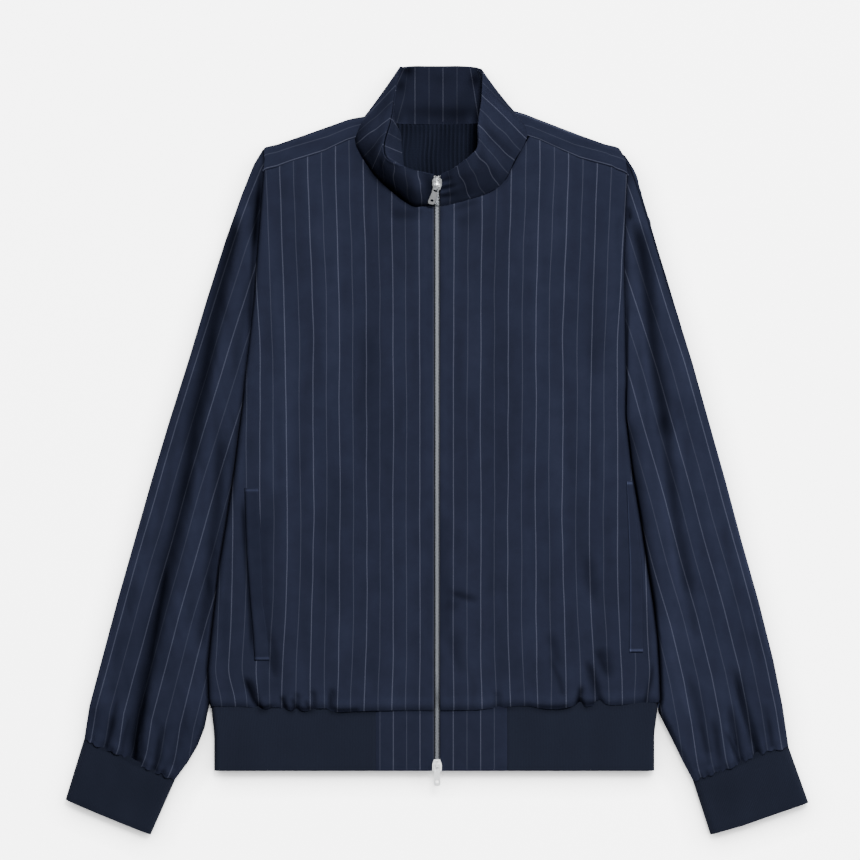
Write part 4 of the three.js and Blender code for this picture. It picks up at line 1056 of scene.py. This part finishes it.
hem = hem_places(even(fine(30)), fine(110))
line = np.concatenate([[0], np.cumsum(np.linalg.norm(np.diff(hem[0], axis=0), axis=1))])
coords = stack(np.broadcast_to(line, hem.shape[:2]), hem[..., 1])
x, y, z = np.moveaxis(hem, -1, 0)
edge = np.where(x < 0, hem_edge("right", -x), hem_edge("left", x))
# Painted shadow below the body's lapped edge on the rib's upper side, stronger where the edge puffs lower; soft
# uneven waves too.
lap_shadow = 0.1 + 0.4 * np.where(x < 0, smooth(-256.5, -259.5, edge), smooth(-252.5, -257, edge))
light = 1 - lap_shadow * bell(np.maximum(edge - y, 0), 3.4) * (z > HEM_H / 2)
light = light * (1 + 0.05 * ripple(x, y, (30, 60), 31.0))
obj = wall("hem_rib_knit", hem, inside(hem, RIB, 1, mark=(2, 3)), coords, light=light)
finish_piece(obj, cotton_rib, "hem_rib", None)

places = even(fine(460))
collar, u, v = collar_places(even(fine(44)), places)
length = ring_length(places)
from_end = np.minimum(u, 1 - u)
kinks = 1.5 * ripple(u * 400, v * 56, (17, 21), 12.0) * smooth(0.3, 0.22, from_end) * smooth(0, 0.04, from_end)
coords = stack(length - np.interp(0.5, places, length) + 4.5 + kinks, v * 56)
# Painted shade and light on the collar: soft uneven waves, the shade bands, and a painted shadow along the seam at
# the wearer's right end.
light = 0.92 + 0.1 * ripple(u * 400, v * 56, (14, 18), 14.0)
for at, up, dark, w, h in COLLAR_SHADE_BANDS:
    light = light * (1 - dark * dent(u, v, at, up, w, h))
light = light * (1 - 0.5 * smooth(0.3, 0.2, u) * bell(v, 0.07))
under = inside(collar, CLOTH, -1, mark=(4, len(places) // 2))
obj = wall("collar_cloth", collar, under, coords, light=light)
finish_piece(obj, collar_suiting, "collar", 0.0195)

# Painted shade where less light reaches the facing at the back of the neck: x, how far up, how dark, width.
FACING_SHADE_BANDS = [
    (-39, 0.08, 0.4, 8), (42, 0.08, 0.4, 8), (-29, 0.93, 0.68, 7), (-36, 0.66, 0.5, 5),
    (-12, 0.22, 0.36, 20), (20, 0.2, 0.42, 20), (38, 0.76, 0.55, 6), (6, 0.78, 0.2, 12),
]
FACING_LOW_Y = 326
places = lerp(0.048, 0.952, even(fine(420)))
facing, u, v = facing_places(even(fine(40)) * 0.97, places)
length = ring_length(places, 0.6)
back = smooth(34, 26, np.abs(facing[..., 0])) * smooth(200, 300, facing[..., 1])
across = lerp(length - np.interp(0.5, places, length) + 4.5, facing[..., 0] - 6.0, back)
# Painted shade and light on the facing: darker along its lower edge at the back, lighter on the wings below y 342,
# and the shade bands above FACING_LOW_Y.
light = 0.67 - 0.06 * smooth(0.3, 0, v) * back + 0.3 * (1 - back) * smooth(342, 328, facing[..., 1])
for x, up, dark, wide in FACING_SHADE_BANDS:
    light = light * (1 - dark * dent(facing[..., 0], v, x, up, wide, 0.12) * (facing[..., 1] > FACING_LOW_Y))
under = inside(facing, FACING, -1, mark=(4, len(places) // 2))
obj = wall("collar_facing_cloth", facing, under, stack(across, v * 56), light=light)
finish_piece(obj, collar_suiting, "collar_facing", 0.0147)

# Lining: fine upright pleats, uneven.
v, x = np.meshgrid(even(fine(60)), lerp(-80, 80, even(fine(360))), indexing="ij")
y = lerp(328, 225, v)
wander = x + 1.1 * ripple(x, y, (60, 22), 1.4)
pleats = 0.42 * np.sin(2 * np.pi * wander / 4.3) * (0.65 + 0.5 * ripple(x, y, (14, 18), 2.2))
lining = stack(x, y, 3.1 + pleats + 0.5 * ripple(x, y, (30, 40), 6.6) + 1.1 * smooth(316, 326, y))
low = lining.copy()
low[..., 2] = CLOTH + SEAM
# Painted shade and light: pleat crests lighter and their hollows darker above y 262, darker towards the lower end, a
# painted shadow under the collar's wing at x 43, and darker at the top under the facing.
light = 0.95 + 0.6 * pleats * smooth(244, 262, y) - 0.2 * smooth(268, 244, y) + 0.12 * ripple(x, y, (18, 26), 8.1)
light = light * (1 - 0.75 * bell(x - 43, 9) * smooth(268, 292, y)) * (1 - 0.5 * smooth(326, 334, y))
obj = wall("back_lining_cloth", lining, low, stack(x, y), light=np.clip(light, 0.25, 1.3))
finish_piece(obj, crinkled_lining, "back_lining", None)

# Zip: tapes, teeth one by one, and the solids' sliders and pulls in metal.
for side in ("right", "left"):
    y = lerp(-317.5, TOP_BAR_Y + 1, even(fine(300)))
    outer = np.where(y > 238, 7.5, TAPE_W)
    base = np.stack([stack(np.full_like(y, sign(side) * 0.3), y, zip_z(y)),
                     stack(sign(side) * outer, y, zip_z(y))], 1)
    coords = np.abs(base[..., :2])
    obj = wall(f"zip_tape_{side}_cloth", inside(base, CLOTH + 0.5, 1), inside(base, CLOTH + 1.5, 1), coords)
    finish_piece(obj, zip_tape_cloth, f"zip_tape_{side}", None)


def tooth_shape():
    """One tooth: a rounded bar from the tape to just past the middle, nose at +x."""
    mesh = bmesh.new()
    bmesh.ops.create_cube(mesh, size=1, matrix=Matrix.Diagonal((3.1, 0.85, 2.3, 1)))
    bmesh.ops.bevel(mesh, geom=mesh.edges[:], offset=0.2, segments=1, affect="EDGES", profile=0.6)
    points = np.array([v.co[:] for v in mesh.verts])
    faces = [[v.index for v in f.verts] for f in mesh.faces]
    mesh.free()
    return points, faces


tooth, tooth_faces = tooth_shape()
spots, faces = [], []
rows = np.arange(-315.5, TOP_BAR_Y - 3, TEETH_PITCH / 2)
for k, y in enumerate(rows):
    left = k % 2
    slope = math.atan2(float(zip_z(y + 2) - zip_z(y - 2)), 4)
    turn = np.array(Matrix.Rotation(slope, 3, "X"))
    shifted = tooth * [1 if left else -1, 1, 1] + [0.62 if left else -0.62, 0, 0]
    # The tooth's height is set from the cloth beside it, square to the slope.
    shifted = (shifted + [0, 0, -0.25]) @ turn.T + [0, y, float(zip_z(y))]
    base = len(spots) * len(tooth)
    faces += [[base + i for i in (f if left else f[::-1])] for f in tooth_faces]
    spots.append(shifted)
mesh = bpy.data.meshes.new("zip_teeth")
mesh.from_pydata((np.concatenate(spots) * MM).tolist(), [], faces)
mesh.shade_smooth()
mesh.set_sharp_from_angle(angle=math.radians(35))
teeth = bpy.data.objects.new("zip_teeth", mesh)
bpy.context.scene.collection.objects.link(teeth)
finish_piece(teeth, shaded_nickel_teeth, "zip_chain")

for name in ("zip_slider_top", "zip_slider_bottom", "zip_pull_top", "zip_pull_bottom"):
    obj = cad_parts[name]
    for k in range(len(obj.material_slots)):
        obj.material_slots[k].material = nickel
    edge = obj.modifiers.new("soft_edges", "BEVEL")
    edge.width = 0.0003
    edge.segments = 3
    edge.limit_method = "ANGLE"
    edge.angle_limit = math.radians(35)

# Floor, light and camera.
SHADOW_REACH = 0.03
SHADOW_DEPTH = 2.4
CARD_GLOW = 4.6
floor_mesh = bpy.data.meshes.new("white_card")
floor_mesh.from_pydata([(-6, -6, -0.0003), (6, -6, -0.0003), (6, 6, -0.0003), (-6, 6, -0.0003)], [], [(0, 1, 2, 3)])
floor = bpy.data.objects.new("white_card", floor_mesh)
bpy.context.scene.collection.objects.link(floor)
white_card = plain("white_card", "#f4f4f4", 0.95)
card_tree = white_card.node_tree
card_shader = next(n for n in card_tree.nodes if n.type == "BSDF_PRINCIPLED")
card_shader.inputs["Emission Color"].default_value = (1, 1, 1, 1)
# The card glows evenly as a bright floor; a painted shadow dims its glow where the jacket stands between it and the
# light, which comes from above its collar.
towards_light = node(card_tree, "ShaderNodeCombineXYZ", {0: 0.0, 1: 0.72, 2: 0.69}).outputs[0]
shadow = {"Distance": SHADOW_REACH, "Normal": towards_light}
open_to_light = node(card_tree, "ShaderNodeAmbientOcclusion", shadow, samples=8)
glow = times(card_tree, maths(card_tree, "POWER", open_to_light.outputs["AO"], SHADOW_DEPTH), CARD_GLOW)
card_tree.links.new(glow, card_shader.inputs["Emission Strength"])
floor_mesh.materials.append(white_card)

world = bpy.data.worlds.new("studio")
bpy.context.scene.world = world
world.use_nodes = True
world.node_tree.nodes["Background"].inputs[0].default_value = (0.95, 0.97, 1.0, 1)
world.node_tree.nodes["Background"].inputs[1].default_value = 0.14


def lamp(name, place, aim, wide, power):
    data = bpy.data.lights.new(name, "AREA")
    data.shape = "RECTANGLE"
    data.size, data.size_y = wide
    data.energy = power
    obj = bpy.data.objects.new(name, data)
    obj.location = place
    obj.rotation_euler = (Vector(aim) - Vector(place)).to_track_quat("-Z", "Y").to_euler()
    bpy.context.scene.collection.objects.link(obj)


lamp("overhead_softbox", (0.9, 2.6, 4.2), (0, 0, 0), (1.8, 1.4), 430)
lamp("ceiling_card", (0.0, 0.0, 4.5), (0, 0, 0), (1.6, 1.6), 45)
lamp("side_fill", (3.2, 0.4, 2.6), (0, 0, 0), (1.4, 1.4), 80)

CAMERA_HEIGHT = 4.0
CAMERA_CENTRE = (-0.007, 0.020)
PHOTO_SIDE = 0.860
camera_data = bpy.data.cameras.new("photo_camera")
camera_data.sensor_width = 36
camera_data.lens = 36 * CAMERA_HEIGHT / PHOTO_SIDE
camera = bpy.data.objects.new("photo_camera", camera_data)
camera.location = (*CAMERA_CENTRE, CAMERA_HEIGHT)
bpy.context.scene.collection.objects.link(camera)
bpy.context.scene.camera = camera
